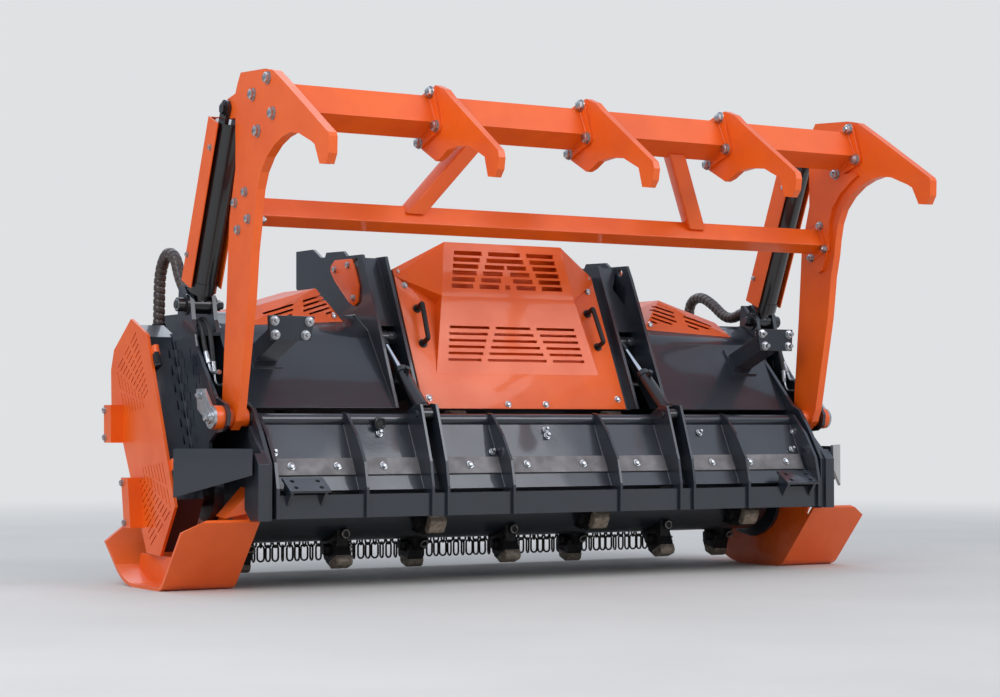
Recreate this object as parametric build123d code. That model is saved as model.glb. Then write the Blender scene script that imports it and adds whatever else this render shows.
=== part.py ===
from build123d import *
import math
import os

os.makedirs("parts", exist_ok=True)

# Driving dimensions, millimetres. X runs to the right as seen from the machine's front, Y runs
# rearward, Z runs up from the skid soles. Sections are drawn as (y, z) pairs measured from the
# lower edge of the door and are moved to the middle of the length at the end.
DOOR_HALF_WIDTH = 1130
LENGTH_MIDDLE_Y = 290
SHEET = 8
PLATE = 12
THICK_PLATE = 15
SEAT_GAP = 0.3
RUNNING_CLEARANCE = 0.06

# Main side plates and the thick bars at the mouth
DOOR_SIDE_GAP = 10
SIDE_PLATE_X = DOOR_HALF_WIDTH + DOOR_SIDE_GAP
SIDE_OUTER_X = SIDE_PLATE_X + THICK_PLATE
MOUTH_BAR_WIDTH = 40
MOUTH_BOTTOM_Z = 235
MOUTH_TOP_Z = 420
REAR_WALL_Y = 960
DECK_Z = 940
HOOD_FOOT = (205, 606)
HOOD_FOLD = (406, 879)
DECK_FRONT = (506, DECK_Z)

# Rotor
ROTOR_CENTER = (440, 315)
DRUM_RADIUS = 175
DRUM_WALL = 30
DRUM_END_GAP = 30
SHAFT_RADIUS = 60
SHAFT_NECK_RADIUS = 45
BEARING_RADIUS = 95
BEARING_DEPTH = 35
TOOL_TIP_RADIUS = 288
TOOL_COUNT = 28
TOOL_END_INSET = 104
TOOL_PITCH = 2 * (DOOR_HALF_WIDTH - TOOL_END_INSET) / (TOOL_COUNT - 1)
TOOL_FIRST_ANGLE = 200
TOOL_STEP_ANGLE = 80
TOOL_WIDTH = 62
HOLDER_WIDTH = 44

# Belt drives at both ends
DRIVE_CENTER = (715, 760)
DRIVE_TUBE_RADIUS = 62
DRIVE_SHAFT_RADIUS = 30
ROTOR_PULLEY_RADIUS = 65
DRIVE_PULLEY_RADIUS = 75
PULLEY_WIDTH = 60
BELT_WIDTH = 52
BELT_THICKNESS = 8

# Door
DOOR_HINGE = (174, 564)
DOOR_TUBE_RADIUS = 22
DOOR_PIN_RADIUS = 20
DOOR_BEAM_HEIGHT = 77
DOOR_BEAM_DEPTH = 80
DOOR_BEAM_BOTTOM_Z = 240
DOOR_PANEL_TOP = (158, 548)
DOOR_PANEL_BOTTOM = (45, 330)
WEAR_STRIP_WIDTH = 63
RIB_THICKNESS = 10
END_RIB_THICKNESS = 12
SINGLE_RIBS_X = (218, 790)
LEVER_RIBS_X = (485, 545)
FOOT_PLATE_INSET = 34
FOOT_PLATE_WIDTH = 149
FOOT_PLATE_X = (DOOR_HALF_WIDTH - FOOT_PLATE_INSET - FOOT_PLATE_WIDTH, DOOR_HALF_WIDTH - FOOT_PLATE_INSET)
DOOR_CYLINDER_X = 515
DOOR_CYLINDER_LOW = (100, 585)
DOOR_CYLINDER_HIGH = (425, 860)
DOOR_BARREL_RADIUS = 25
DOOR_BARREL_LENGTH = 235
DOOR_ROD_RADIUS = 13
DOOR_EYE_HALF_WIDTH = 20

# Push frame
PUSH_PIVOT = (157, 572)
PIVOT_RADIUS = 22
ARM_OFFSET = 50
ARM_X = SIDE_OUTER_X + ARM_OFFSET
ARM_THICKNESS = 30
BEAM_TILT = 26
FLANGE_TURN = 7
FLANGE_CORNER = 20
TOP_BEAM_CENTER = (-92, 1578)
TOP_BEAM_SIZE = 105
LOWER_BEAM_CENTER = (69, 1247)
LOWER_BEAM_SIZE = 70
BRACE_SIZE = 60
BRACE_LOW_X = 590
BRACE_HIGH_X = 410
TUBE_WALL = 8
TOP_FLANGE_SIZE = 162
LOWER_FLANGE_SIZE = 124
CLAW_X = (-600, 0, 600)
CLAW_THICKNESS = 25

# Push cylinders
PUSH_EYE = (184, 1596)
PUSH_EYE_PIN_RADIUS = 15
EYE_TAB_RADIUS = 34
FORK_THICKNESS = 14
PUSH_PIN = (450, 957)
PUSH_PIN_RADIUS = 17
PUSH_EYE_HALF_WIDTH = 30
PUSH_EAR_GAP = 3
PUSH_BARREL_RADIUS = 46
PUSH_BARREL_START = 45
PUSH_BARREL_END = 637
PUSH_ROD_RADIUS = 24
GUARD_HALF_WIDTH = 58
GUARD_FRONT = 31
GUARD_REAR = 51.2
GUARD_WALL = 5
GUARD_START = 42
GUARD_END = 622

# Masts with the hitch plates, and the centre cover between them
MAST_INNER_X = 455
MAST_OUTER_X = 565
HOOD_INNER_X = MAST_OUTER_X + PLATE
COVER_LOW = (262, 606)
COVER_HIGH = (500, 1112)
COVER_HALF_WIDTH = 430
COVER_SHEET = 6
COVER_LEDGE = 25

# Hitch
HITCH_BEAM_Y = REAR_WALL_Y + SHEET
HITCH_BEAM_DEPTH = 80
HITCH_BEAM_Z = (480, 600)
LOWER_LINK_CENTER = (1095, 540)
LOWER_LINK_BORE = 18.5
LOWER_LUGS_X = (425, 515)
LOWER_LUG_THICKNESS = 20
TOP_LINK_CENTER = (1030, 1060)
TOP_LINK_BORE = 16.5
TOP_LUG_X = 45

# Side drive cases, their hinged covers and the skids
ARM_BAY = 85
CASE_INNER_X = SIDE_OUTER_X + ARM_BAY
CASE_WIDTH = 107
COVER_GAP = 6
COVER_INNER_X = CASE_INNER_X + CASE_WIDTH
CASE_OUTER_X = COVER_INNER_X - COVER_GAP
SIDE_COVER_SHEET = 10
HINGE_X = COVER_INNER_X - 9
HINGE_LOW = (277, 276)
HINGE_HIGH = (533, 858)
KNUCKLE_RADIUS = 12
KNUCKLE_LENGTH = 38
HINGE_PIN_RADIUS = 6
KNUCKLE_PLACES = (95, 515)
SKID_WIDTH = 263
SKID_INNER_X = SIDE_OUTER_X
SKID_OUTER_X = SKID_INNER_X + SKID_WIDTH
SKID_THICKNESS = 12

SIDES = (("left", -1), ("right", 1))


def section(points, x_from, x_to):
    """Plate or block: an outline of (y, z) points carried from x_from to x_to."""
    return profile(make_face(Polyline(*points, close=True)), x_from, x_to)


def profile(face, x_from, x_to):
    """A (y, z) face carried from x_from to x_to."""
    low = min(x_from, x_to)
    return extrude(Plane.YZ.offset(low) * face, amount=abs(x_to - x_from))


def disc(center, radius, x_from, x_to):
    """Round bar along X."""
    return profile(Pos(*center) * Circle(radius), x_from, x_to)


def block(x_from, x_to, y_from, y_to, z_from, z_to):
    """Rectangular block between two corners."""
    middle = Pos((x_from + x_to) / 2, (y_from + y_to) / 2, (z_from + z_to) / 2)
    return middle * Box(abs(x_to - x_from), abs(y_to - y_from), abs(z_to - z_from))


def bar(start, end, radius):
    """Round bar between two points of space."""
    start = Vector(*start)
    direction = Vector(*end) - start
    plane = Plane(origin=start, z_dir=direction)
    return extrude(plane * Circle(radius), amount=direction.length)


def along(start, end, distance):
    """Point of a (y, z) line at a distance from its start."""
    part = distance / math.dist(start, end)
    return (start[0] + (end[0] - start[0]) * part, start[1] + (end[1] - start[1]) * part)


def behind(point, start, end, depth):
    """Point moved rearward, square to the rising line from start to end."""
    length = math.dist(start, end)
    return (
        point[0] + (end[1] - start[1]) / length * depth,
        point[1] - (end[0] - start[0]) / length * depth,
    )


def slab(start, end, depth_from, depth_to, x_from, x_to):
    """Slanted plate between two depths behind the rising line from start to end."""
    corners = [behind(point, start, end, depth_from) for point in (start, end)]
    corners += [behind(point, start, end, depth_to) for point in (end, start)]
    return section(corners, x_from, x_to)


def tube(center, radius, wall, x_from, x_to):
    """Round tube along X."""
    ring = Circle(radius) - Circle(radius - wall)
    return profile(Pos(*center) * ring, x_from, x_to)


def square_tube(center, size, wall, x_from, x_to):
    """Square tube along X, turned by the tilt of the frame."""
    outline = Rot(0, 0, -BEAM_TILT) * (Rectangle(size, size) - Rectangle(size - 2 * wall, size - 2 * wall))
    return profile(Pos(*center) * outline, x_from, x_to)


def flange(center, size, x_from, x_to):
    """Square flange with rounded corners, turned almost as its beam."""
    outline = Pos(*center) * Rot(0, 0, FLANGE_TURN - BEAM_TILT) * RectangleRounded(size, size, FLANGE_CORNER)
    return profile(outline, x_from, x_to)


def save(name, shape):
    """One file per piece, with the machine's middle at the origin."""
    export_step(Pos(0, -LENGTH_MIDDLE_Y, 0) * shape, f"parts/{name}.step")


# Main side plates: slanted front edge, rotor bearing, bores for the drive shaft and the door pin
side_outline = [
    (0, MOUTH_BOTTOM_Z), (0, MOUTH_TOP_Z), (70, 527), (130, 604), (174, 624), (360, 812), HOOD_FOLD,
    DECK_FRONT, (REAR_WALL_Y, DECK_Z), (REAR_WALL_Y, 300), (820, 225), (628, 225), (585, 170), (520, 125),
    (440, 110), (401, 113), (355, 127), (311, 154), (280, 190), (262, MOUTH_BOTTOM_Z),
]
mouth_bar_outline = [
    (-12, MOUTH_BOTTOM_Z), (-12, MOUTH_TOP_Z), (20, 455), (95, 455), (95, 270), (50, MOUTH_BOTTOM_Z),
]
for side, sign in SIDES:
    inner = sign * SIDE_PLATE_X
    outer = sign * SIDE_OUTER_X
    bearing_end = sign * (SIDE_OUTER_X + BEARING_DEPTH)
    plate = section(side_outline, inner, outer)
    plate += disc(ROTOR_CENTER, BEARING_RADIUS, outer, bearing_end)
    plate += disc(DRIVE_CENTER, DRIVE_TUBE_RADIUS, outer, bearing_end)
    plate -= disc(ROTOR_CENTER, SHAFT_RADIUS + RUNNING_CLEARANCE, inner, bearing_end)
    plate -= disc(DRIVE_CENTER, DRIVE_SHAFT_RADIUS + RUNNING_CLEARANCE, inner, bearing_end)
    plate -= disc(DOOR_HINGE, DOOR_PIN_RADIUS + RUNNING_CLEARANCE, inner, outer)
    plate += section(mouth_bar_outline, outer, sign * (SIDE_OUTER_X + MOUTH_BAR_WIDTH))
    gusset = [(20, 455), (95, 455), (130, 520), (120, 545)]
    plate += section(gusset, outer, sign * (SIDE_OUTER_X + THICK_PLATE))
    save(f"side_plate_{side}", plate)

# Hoods: slanted front panel rolled over to the deck, with the tube stub and its end plate
STUB_INSET = 85
STUB_WIDTH = 80
STUB_X = (SIDE_PLATE_X - STUB_INSET - STUB_WIDTH, SIDE_PLATE_X - STUB_INSET)
STUB_Z = (838, 906)
STUB_FRONT_Y = 130
STUB_SLOPE = 0.39
STUB_FOOT = (165, 285)
END_PLATE = [(STUB_X[0] + across, z) for across, z in ((-44, 911), (125, 911), (121, 829), (-29, 829))]
half_sheet = SHEET / 2
hood_foot_middle = behind(HOOD_FOOT, HOOD_FOOT, HOOD_FOLD, half_sheet)
hood_middle = FilletPolyline(
    hood_foot_middle, (HOOD_FOLD[0] + 2.7, HOOD_FOLD[1] - 3), (DECK_FRONT[0] + 1, DECK_Z - half_sheet),
    (REAR_WALL_Y, DECK_Z - half_sheet), radius=[150, 100])
hood_sheet = trace(hood_middle, line_width=SHEET)
hoods = {}
under_hood = [HOOD_FOOT, HOOD_FOLD, DECK_FRONT, (REAR_WALL_Y, DECK_Z), (REAR_WALL_Y, HOOD_FOOT[1])]
for side, sign in SIDES:
    hood = profile(hood_sheet, sign * HOOD_INNER_X, sign * SIDE_PLATE_X)
    stub = ConvexPolyhedron([
        (sign * x, STUB_FRONT_Y + run, z - run * STUB_SLOPE)
        for x in STUB_X for z in STUB_Z for run in (0, 320)])
    hood += stub - section(under_hood, 0, sign * SIDE_PLATE_X)
    foot_low, foot_high = [along(HOOD_FOOT, HOOD_FOLD, place) for place in STUB_FOOT]
    hood += slab(foot_low, foot_high, -SHEET, 0, sign * (STUB_X[0] - 14), sign * (STUB_X[1] + 14))
    end_corners = [(sign * x, z) for x, z in END_PLATE]
    end_plane = Plane.XZ.offset(-STUB_FRONT_Y)
    hood += extrude(end_plane * make_face(Polyline(*end_corners, close=True)), amount=THICK_PLATE)
    save(f"hood_{side}", hood)
    hoods[side] = hood

# Masts: two slanted plates, a recessed front panel with a drop-shaped notch, and the hitch plate
inner_mast = [
    (228, 606), (465, 1105), (488, 1155), (560, 1155), (700, 1120), (REAR_WALL_Y, 1060),
    (REAR_WALL_Y, 925), (500, 850), (300, 606),
]
outer_mast = [
    (196, 606), (430, 1105), (458, 1156), (576, 1158), (604, 1177), (740, 1181), (752, 1164), (786, 1166),
    (851, 1200), (994, 1201), (993, 1060), (REAR_WALL_Y, 1040), (REAR_WALL_Y, 925), (500, 850), (300, 606),
]
LIFTING_HOLE = (500, 1131)
LIFTING_RADIUS = 14
MAST_PANEL_LOW = (418, 901)
MAST_PANEL_HIGH = (545, 1152)
NOTCH_CENTER = 1090
NOTCH_RADIUS = 30
NOTCH_LENGTH = 72
DROP_PLATE = [
    (654, 1145), (526, 1142), (493, 1094), (468, 1042), (476, 988), (503, 975), (542, 991), (598, 1029),
    (654, 1073), (688, 1108), (683, 1126),
]
for side, sign in SIDES:
    outer_face = sign * HOOD_INNER_X
    mast = section(inner_mast, sign * MAST_INNER_X, sign * (MAST_INNER_X + PLATE))
    outer_plate = section(outer_mast, sign * MAST_OUTER_X, outer_face)
    mast += outer_plate - disc(LIFTING_HOLE, LIFTING_RADIUS, sign * MAST_OUTER_X, outer_face)
    panel_from = sign * (MAST_INNER_X + PLATE)
    panel = slab(MAST_PANEL_LOW, MAST_PANEL_HIGH, 0, SHEET, panel_from, sign * MAST_OUTER_X)
    notch_point = along(MAST_PANEL_LOW, MAST_PANEL_HIGH, NOTCH_CENTER - MAST_PANEL_LOW[1])
    notch_tip = along(MAST_PANEL_LOW, MAST_PANEL_HIGH, NOTCH_CENTER - NOTCH_LENGTH - MAST_PANEL_LOW[1])
    notch_axis = Vector(0, *behind((0, 0), MAST_PANEL_LOW, MAST_PANEL_HIGH, 1))
    notch_plane = Plane(origin=(sign * MAST_OUTER_X, *notch_point), x_dir=(1, 0, 0), z_dir=notch_axis)
    drop_length = math.dist(notch_point, notch_tip)
    drop = Circle(NOTCH_RADIUS)
    for direction in (-1, 1):
        drop += make_face(Polyline(
            (-NOTCH_RADIUS, 0), (NOTCH_RADIUS, 0), (0, direction * drop_length), close=True))
    mast += panel - extrude(notch_plane * drop, amount=2 * SHEET, both=True)
    mast += slab(
        COVER_LOW, COVER_HIGH, COVER_SHEET, COVER_SHEET + SHEET,
        sign * (COVER_HALF_WIDTH - COVER_LEDGE), sign * MAST_INNER_X)
    mast += block(sign * (MAST_INNER_X + PLATE), sign * MAST_OUTER_X, 560, 560 + SHEET, 900, 1140)
    eye_edge = DOOR_EYE_HALF_WIDTH + PUSH_EAR_GAP
    for boss_x, wall_x in (
        (DOOR_CYLINDER_X - eye_edge, MAST_INNER_X + PLATE), (DOOR_CYLINDER_X + eye_edge, MAST_OUTER_X),
    ):
        mast += disc(DOOR_CYLINDER_HIGH, 22, sign * boss_x, sign * wall_x)
    mast += section(DROP_PLATE, outer_face, sign * (HOOD_INNER_X + COVER_SHEET))
    save(f"mast_{side}", mast)

# Centre cover between the masts: flat sheet with a folded hump and rows of slots.
# Each corner of the hump is (half width, y, z).
HUMP_FOOT = (346, 321, 731)
HUMP_FOLD = (284, 394, 1014)
HUMP_FOLD_FOOT = (284, 443.2, 990.8)
HUMP_TOP = (251, 437, 1213)
HUMP_BACK = (COVER_HALF_WIDTH - 2, 500, 1112)
HUMP_EDGE = (COVER_HALF_WIDTH - 2, 487.3, 1085)
HUMP_WALL = 5
HUMP_SIDE_WALL = 9


def hump_part(corners, x_inset, depth):
    """Hull of mirrored corners, narrowed by x_inset and set back square to the cover."""
    points = []
    for half, y, z in corners:
        moved = behind((y, z), COVER_LOW, COVER_HIGH, depth)
        points += [(half - x_inset, *moved), (x_inset - half, *moved)]
    return ConvexPolyhedron(points)


hump = hump_part([HUMP_FOOT, HUMP_FOLD, HUMP_FOLD_FOOT], 0, 0)
hump += hump_part([HUMP_FOLD, HUMP_FOLD_FOOT, HUMP_TOP, HUMP_BACK, HUMP_EDGE], 0, 0)
top_inside = (HUMP_TOP[0], HUMP_TOP[1] + 4, HUMP_TOP[2] - 14)
fold_foot_inside = (HUMP_FOLD_FOOT[0], *behind(HUMP_FOLD_FOOT[1:], COVER_LOW, COVER_HIGH, HUMP_WALL + PLATE))
hollow = hump_part([HUMP_FOOT, HUMP_FOLD, fold_foot_inside], HUMP_SIDE_WALL, HUMP_WALL)
hollow += hump_part(
    [HUMP_FOLD, fold_foot_inside, top_inside, (HUMP_BACK[0] - 30, 506, 1094), (HUMP_EDGE[0] - 30, 497, 1078)],
    HUMP_SIDE_WALL, HUMP_WALL)
base_sheet = slab(COVER_LOW, COVER_HIGH, 0, COVER_SHEET, -COVER_HALF_WIDTH, COVER_HALF_WIDTH)
center_cover = hump - hollow + base_sheet

# Slot rows of each face: height of the first row, row pitch, slot height, outer end of the outermost
# slot and how far it moves out per row, and the inner ends of the slots with their move per row
SLOT_DRIFT = 10.4
SLOT_BRIDGE = 27
SLOT_ROWS = 6
upper_face = (HUMP_FOLD, HUMP_TOP, 1175, -24.5, 16, 214, 4.9, (96, -15, -126))
lower_face = (HUMP_FOOT, HUMP_FOLD, 900.5, -23.8, 10, 267.5, 4.7, (101, -60))
for low, high, first_z, pitch, height, edge, edge_drift, inner_ends in (upper_face, lower_face):
    for row in range(SLOT_ROWS):
        z = first_z + row * pitch
        face_y = low[1] + (high[1] - low[1]) * (z - low[2]) / (high[2] - low[2])
        outer_end = edge + row * edge_drift
        for first_inner in inner_ends:
            inner_end = max(0, first_inner + row * SLOT_DRIFT)
            if outer_end > inner_end:
                for sign in (-1, 1):
                    center_cover -= block(
                        sign * inner_end, sign * outer_end, face_y - 10, face_y + 14,
                        z - height / 2, z + height / 2)
            outer_end = first_inner + row * SLOT_DRIFT - SLOT_BRIDGE
save("center_cover", center_cover)

HANDLE_HIGH = (367, 459, 965)
HANDLE_LOW = (375, 356, 838)
handles = []
for side, sign in SIDES:
    ends = []
    for x, y, z in (HANDLE_HIGH, HANDLE_LOW):
        part = (z - COVER_LOW[1]) / (COVER_HIGH[1] - COVER_LOW[1])
        foot = COVER_LOW[0] + part * (COVER_HIGH[0] - COVER_LOW[0])
        standing = behind((foot, z), COVER_LOW, COVER_HIGH, -45)
        ends.append((sign * x, *standing))
        handles.append(bar((sign * x, foot, z), (sign * x, *standing), 9) - center_cover)
    handles.append(bar(*ends, 9))
save("cover_handles", Compound(handles))

# Gearbox with its output tubes and input shaft
INPUT_Z = 760
gearbox = block(-180, 180, 640, REAR_WALL_Y - 20, 640, 900)
for sign in (-1, 1):
    gearbox += tube(DRIVE_CENTER, DRIVE_TUBE_RADIUS, TUBE_WALL, sign * 180, sign * SIDE_PLATE_X)
gearbox += bar((0, REAR_WALL_Y - 20, INPUT_Z), (0, REAR_WALL_Y + 70, INPUT_Z), 70)
gearbox += bar((0, REAR_WALL_Y + 70, INPUT_Z), (0, REAR_WALL_Y + 160, INPUT_Z), 24)
save("gearbox", gearbox)

# Rear wall with the cross beam, the lower link lugs, the top link bracket and the chain rail
CHAIN_COUNT = 36
CHAIN_END_INSET = 80
CHAIN_PITCH = 2 * (DOOR_HALF_WIDTH - CHAIN_END_INSET) / (CHAIN_COUNT - 1)
LINKS_PER_CHAIN = 5
LINK_LENGTH = 68
LINK_WIDTH = 34
LINK_BAR = 8
RAIL_Y = REAR_WALL_Y + SHEET + 24
RAIL_Z = 292
rear_frame = block(-SIDE_PLATE_X, SIDE_PLATE_X, REAR_WALL_Y, REAR_WALL_Y + SHEET, 300, DECK_Z)
rear_frame -= block(-150, 150, REAR_WALL_Y, REAR_WALL_Y + SHEET, 650, 880)
beam_outside = block(
    -SIDE_PLATE_X, SIDE_PLATE_X, HITCH_BEAM_Y, HITCH_BEAM_Y + HITCH_BEAM_DEPTH, *HITCH_BEAM_Z)
beam_inside = block(
    -SIDE_PLATE_X, SIDE_PLATE_X, HITCH_BEAM_Y + TUBE_WALL, HITCH_BEAM_Y + HITCH_BEAM_DEPTH - TUBE_WALL,
    HITCH_BEAM_Z[0] + TUBE_WALL, HITCH_BEAM_Z[1] - TUBE_WALL)
rear_frame += beam_outside - beam_inside
for sign in (-1, 1):
    for lug_x in LOWER_LUGS_X:
        lug_from = sign * lug_x
        lug_to = sign * (lug_x + LOWER_LUG_THICKNESS)
        lug = section(
            [(HITCH_BEAM_Y, 440), (HITCH_BEAM_Y, 480), (HITCH_BEAM_Y + HITCH_BEAM_DEPTH, 480),
             (HITCH_BEAM_Y + HITCH_BEAM_DEPTH, 600), (HITCH_BEAM_Y, 600), (HITCH_BEAM_Y, 640),
             (1080, 585), (1080, 495)], lug_from, lug_to)
        lug += disc(LOWER_LINK_CENTER, 45, lug_from, lug_to)
        rear_frame += lug - disc(LOWER_LINK_CENTER, LOWER_LINK_BORE, lug_from, lug_to)
    lug_from = sign * TOP_LUG_X
    lug_to = sign * (TOP_LUG_X + THICK_PLATE)
    lug = section(
        [(HITCH_BEAM_Y, 900), (HITCH_BEAM_Y, 1100), (1030, 1100), (1068, 1075), (1068, 1040), (1000, 930)],
        lug_from, lug_to)
    rear_frame += lug - disc(TOP_LINK_CENTER, TOP_LINK_BORE, lug_from, lug_to)
rear_frame += block(-100, 100, REAR_WALL_Y, REAR_WALL_Y + SHEET, DECK_Z, 1100)
rail_half = (CHAIN_COUNT / 2) * CHAIN_PITCH
rear_frame += block(-rail_half, rail_half, RAIL_Y - 4, RAIL_Y + 4, RAIL_Z, RAIL_Z + LINK_BAR)
for index in range(0, CHAIN_COUNT + 1, 4):
    x = -rail_half + index * CHAIN_PITCH
    x = max(-rail_half + 3, min(rail_half - 3, x))
    rear_frame += block(x - 3, x + 3, REAR_WALL_Y + SHEET, RAIL_Y + 4, RAIL_Z, RAIL_Z + 60)
save("rear_frame", rear_frame)

# Chain curtain: links of square bar hung on the rail, each turned against the next
link_outside = Box(LINK_BAR, LINK_WIDTH, LINK_LENGTH)
link_inside = Box(LINK_BAR, LINK_WIDTH - 2 * LINK_BAR, LINK_LENGTH - 2 * LINK_BAR)
link = link_outside - link_inside
link_step = LINK_LENGTH - 2 * LINK_BAR - SEAT_GAP
top_link_z = RAIL_Z + 2 * LINK_BAR + SEAT_GAP - LINK_LENGTH / 2
links = []
for chain in range(CHAIN_COUNT):
    x = (chain - (CHAIN_COUNT - 1) / 2) * CHAIN_PITCH
    for index in range(LINKS_PER_CHAIN):
        place = Pos(x, RAIL_Y, top_link_z - index * link_step)
        links.append(place * Rot(0, 0, 90 * (index % 2)) * link)
save("chain_curtain", Compound(links))

# Folded slotted covers on the deck over the drive tubes; corners are (x, y, z)
GRILLE_END_X = SIDE_PLATE_X - 126
GRILLE_FOOT_X = SIDE_PLATE_X - 100
GRILLE_CORNERS = (
    (648, 463, 914), (741, 495, 1031), (GRILLE_END_X, 495, 950), (GRILLE_FOOT_X, 425, 891), (741, 760, 1031),
    (GRILLE_END_X, 760, 950), (690, 860, DECK_Z), (GRILLE_END_X, 860, DECK_Z), (648, 800, DECK_Z),
    (GRILLE_FOOT_X, 800, DECK_Z),
)
GRILLE_WALL = 6
RIDGE_SLOPE = math.degrees(math.atan2(1031 - 950, GRILLE_END_X - 741))
GRILLE_SLOT_HEIGHT = 7
GRILLE_ROW_PITCH = 16.9
GRILLE_FIRST_ROW = (700, 1012)
grille_rows = (
    ((715, 803), (839, 968)), ((706, 803), (842, 950)), ((703, 807), (851, 900)), ((694, 784),),
    ((688, 715),),
)
for side, sign in SIDES:
    outside = ConvexPolyhedron([(sign * x, y, z) for x, y, z in GRILLE_CORNERS])
    inside_corners = []
    for x, y, z in GRILLE_CORNERS:
        toward = 1 if x > 850 else -1
        inset_x = x - toward * 2 * GRILLE_WALL
        inset_y = y + 2 * GRILLE_WALL if y < 600 else y - 2 * GRILLE_WALL
        inset_z = z - GRILLE_WALL if z > DECK_Z + 5 else z - 3 * GRILLE_WALL
        inside_corners.append((sign * inset_x, inset_y, inset_z))
    grille = outside - ConvexPolyhedron(inside_corners) - section(under_hood, 0, sign * SIDE_PLATE_X)
    grille -= hoods[side]
    for row, slots in enumerate(grille_rows):
        for x_from, x_to in slots:
            middle_x = (x_from + x_to) / 2
            drop_down = (middle_x - GRILLE_FIRST_ROW[0]) * math.tan(math.radians(RIDGE_SLOPE))
            middle_z = GRILLE_FIRST_ROW[1] - row * GRILLE_ROW_PITCH - drop_down
            cutter = Box(x_to - x_from, 70, GRILLE_SLOT_HEIGHT)
            grille -= Pos(sign * middle_x, 475, middle_z) * Rot(0, sign * RIDGE_SLOPE, 0) * cutter
    save(f"drive_grille_{side}", grille)

# Side drive cases: lug plate for the push frame, slotted front wall, deflector, cylinder bracket
case_outline = [
    (325, 300), (338, 330), (568, 850), (680, 895), (830, 800), (850, 730), (850, 630), (740, 480),
    (530, 125), (430, 120),
]
lug_outline = [
    (330, 345), (266, 345), (263, 390), (60, 390), (60, 460), (256, 460), (255, 490), (205, 520), (150, 525),
    (112, 545), (104, 585), (125, 616), (205, 640), (253, 688), (312, 748), (366, 813), (389, 880),
    (560, 880), (600, 700), (600, 400),
]
case_face = make_face(Polyline(*case_outline, close=True))
case_wall = case_face - offset(case_face, amount=-SHEET)
case_plate = case_face + make_face(Polyline(*lug_outline, close=True))
SLOT_LENGTH = 33
SLOT_WIDTH = 6
SIDE_SLOT_FIRST = (515, 790)
SIDE_SLOT_STEP = (-27, -59)
SIDE_SLOT_COLUMN = -50
SIDE_SLOT_ROWS = (5, 4, 4, 2)
FRONT_SLOT_X = (17, 35)
FRONT_SLOT_ROWS = 8
slot_lean = math.degrees(math.atan2(8, 31))
for column, rows in enumerate(SIDE_SLOT_ROWS):
    for row in range(rows):
        slot_y = SIDE_SLOT_FIRST[0] + column * SIDE_SLOT_COLUMN + row * SIDE_SLOT_STEP[0]
        slot_z = SIDE_SLOT_FIRST[1] + row * SIDE_SLOT_STEP[1] + (column % 2) * SIDE_SLOT_STEP[1] / 2
        case_plate -= Pos(slot_y, slot_z) * Rot(0, 0, -slot_lean) * Rectangle(SLOT_WIDTH, SLOT_LENGTH)
BELT_WINDOWS = ((ROTOR_CENTER, SHAFT_RADIUS), (DRIVE_CENTER, DRIVE_SHAFT_RADIUS + 15))
for center, radius in BELT_WINDOWS:
    case_plate -= Pos(*center) * Circle(radius)
case_plate -= Pos(*PUSH_PIVOT) * Circle(PIVOT_RADIUS)
WING_GAP = 13
WING_REACH = 61
WING_START = (SIDE_OUTER_X + MOUTH_BAR_WIDTH + WING_GAP, 8)
WING_END = (CASE_OUTER_X + WING_REACH, 200)
WING_THICKNESS = 10
WING_TOP_Z = 470
WING_INNER_BOTTOM_Z = 384
WING_OUTER_BOTTOM_Z = 310
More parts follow.
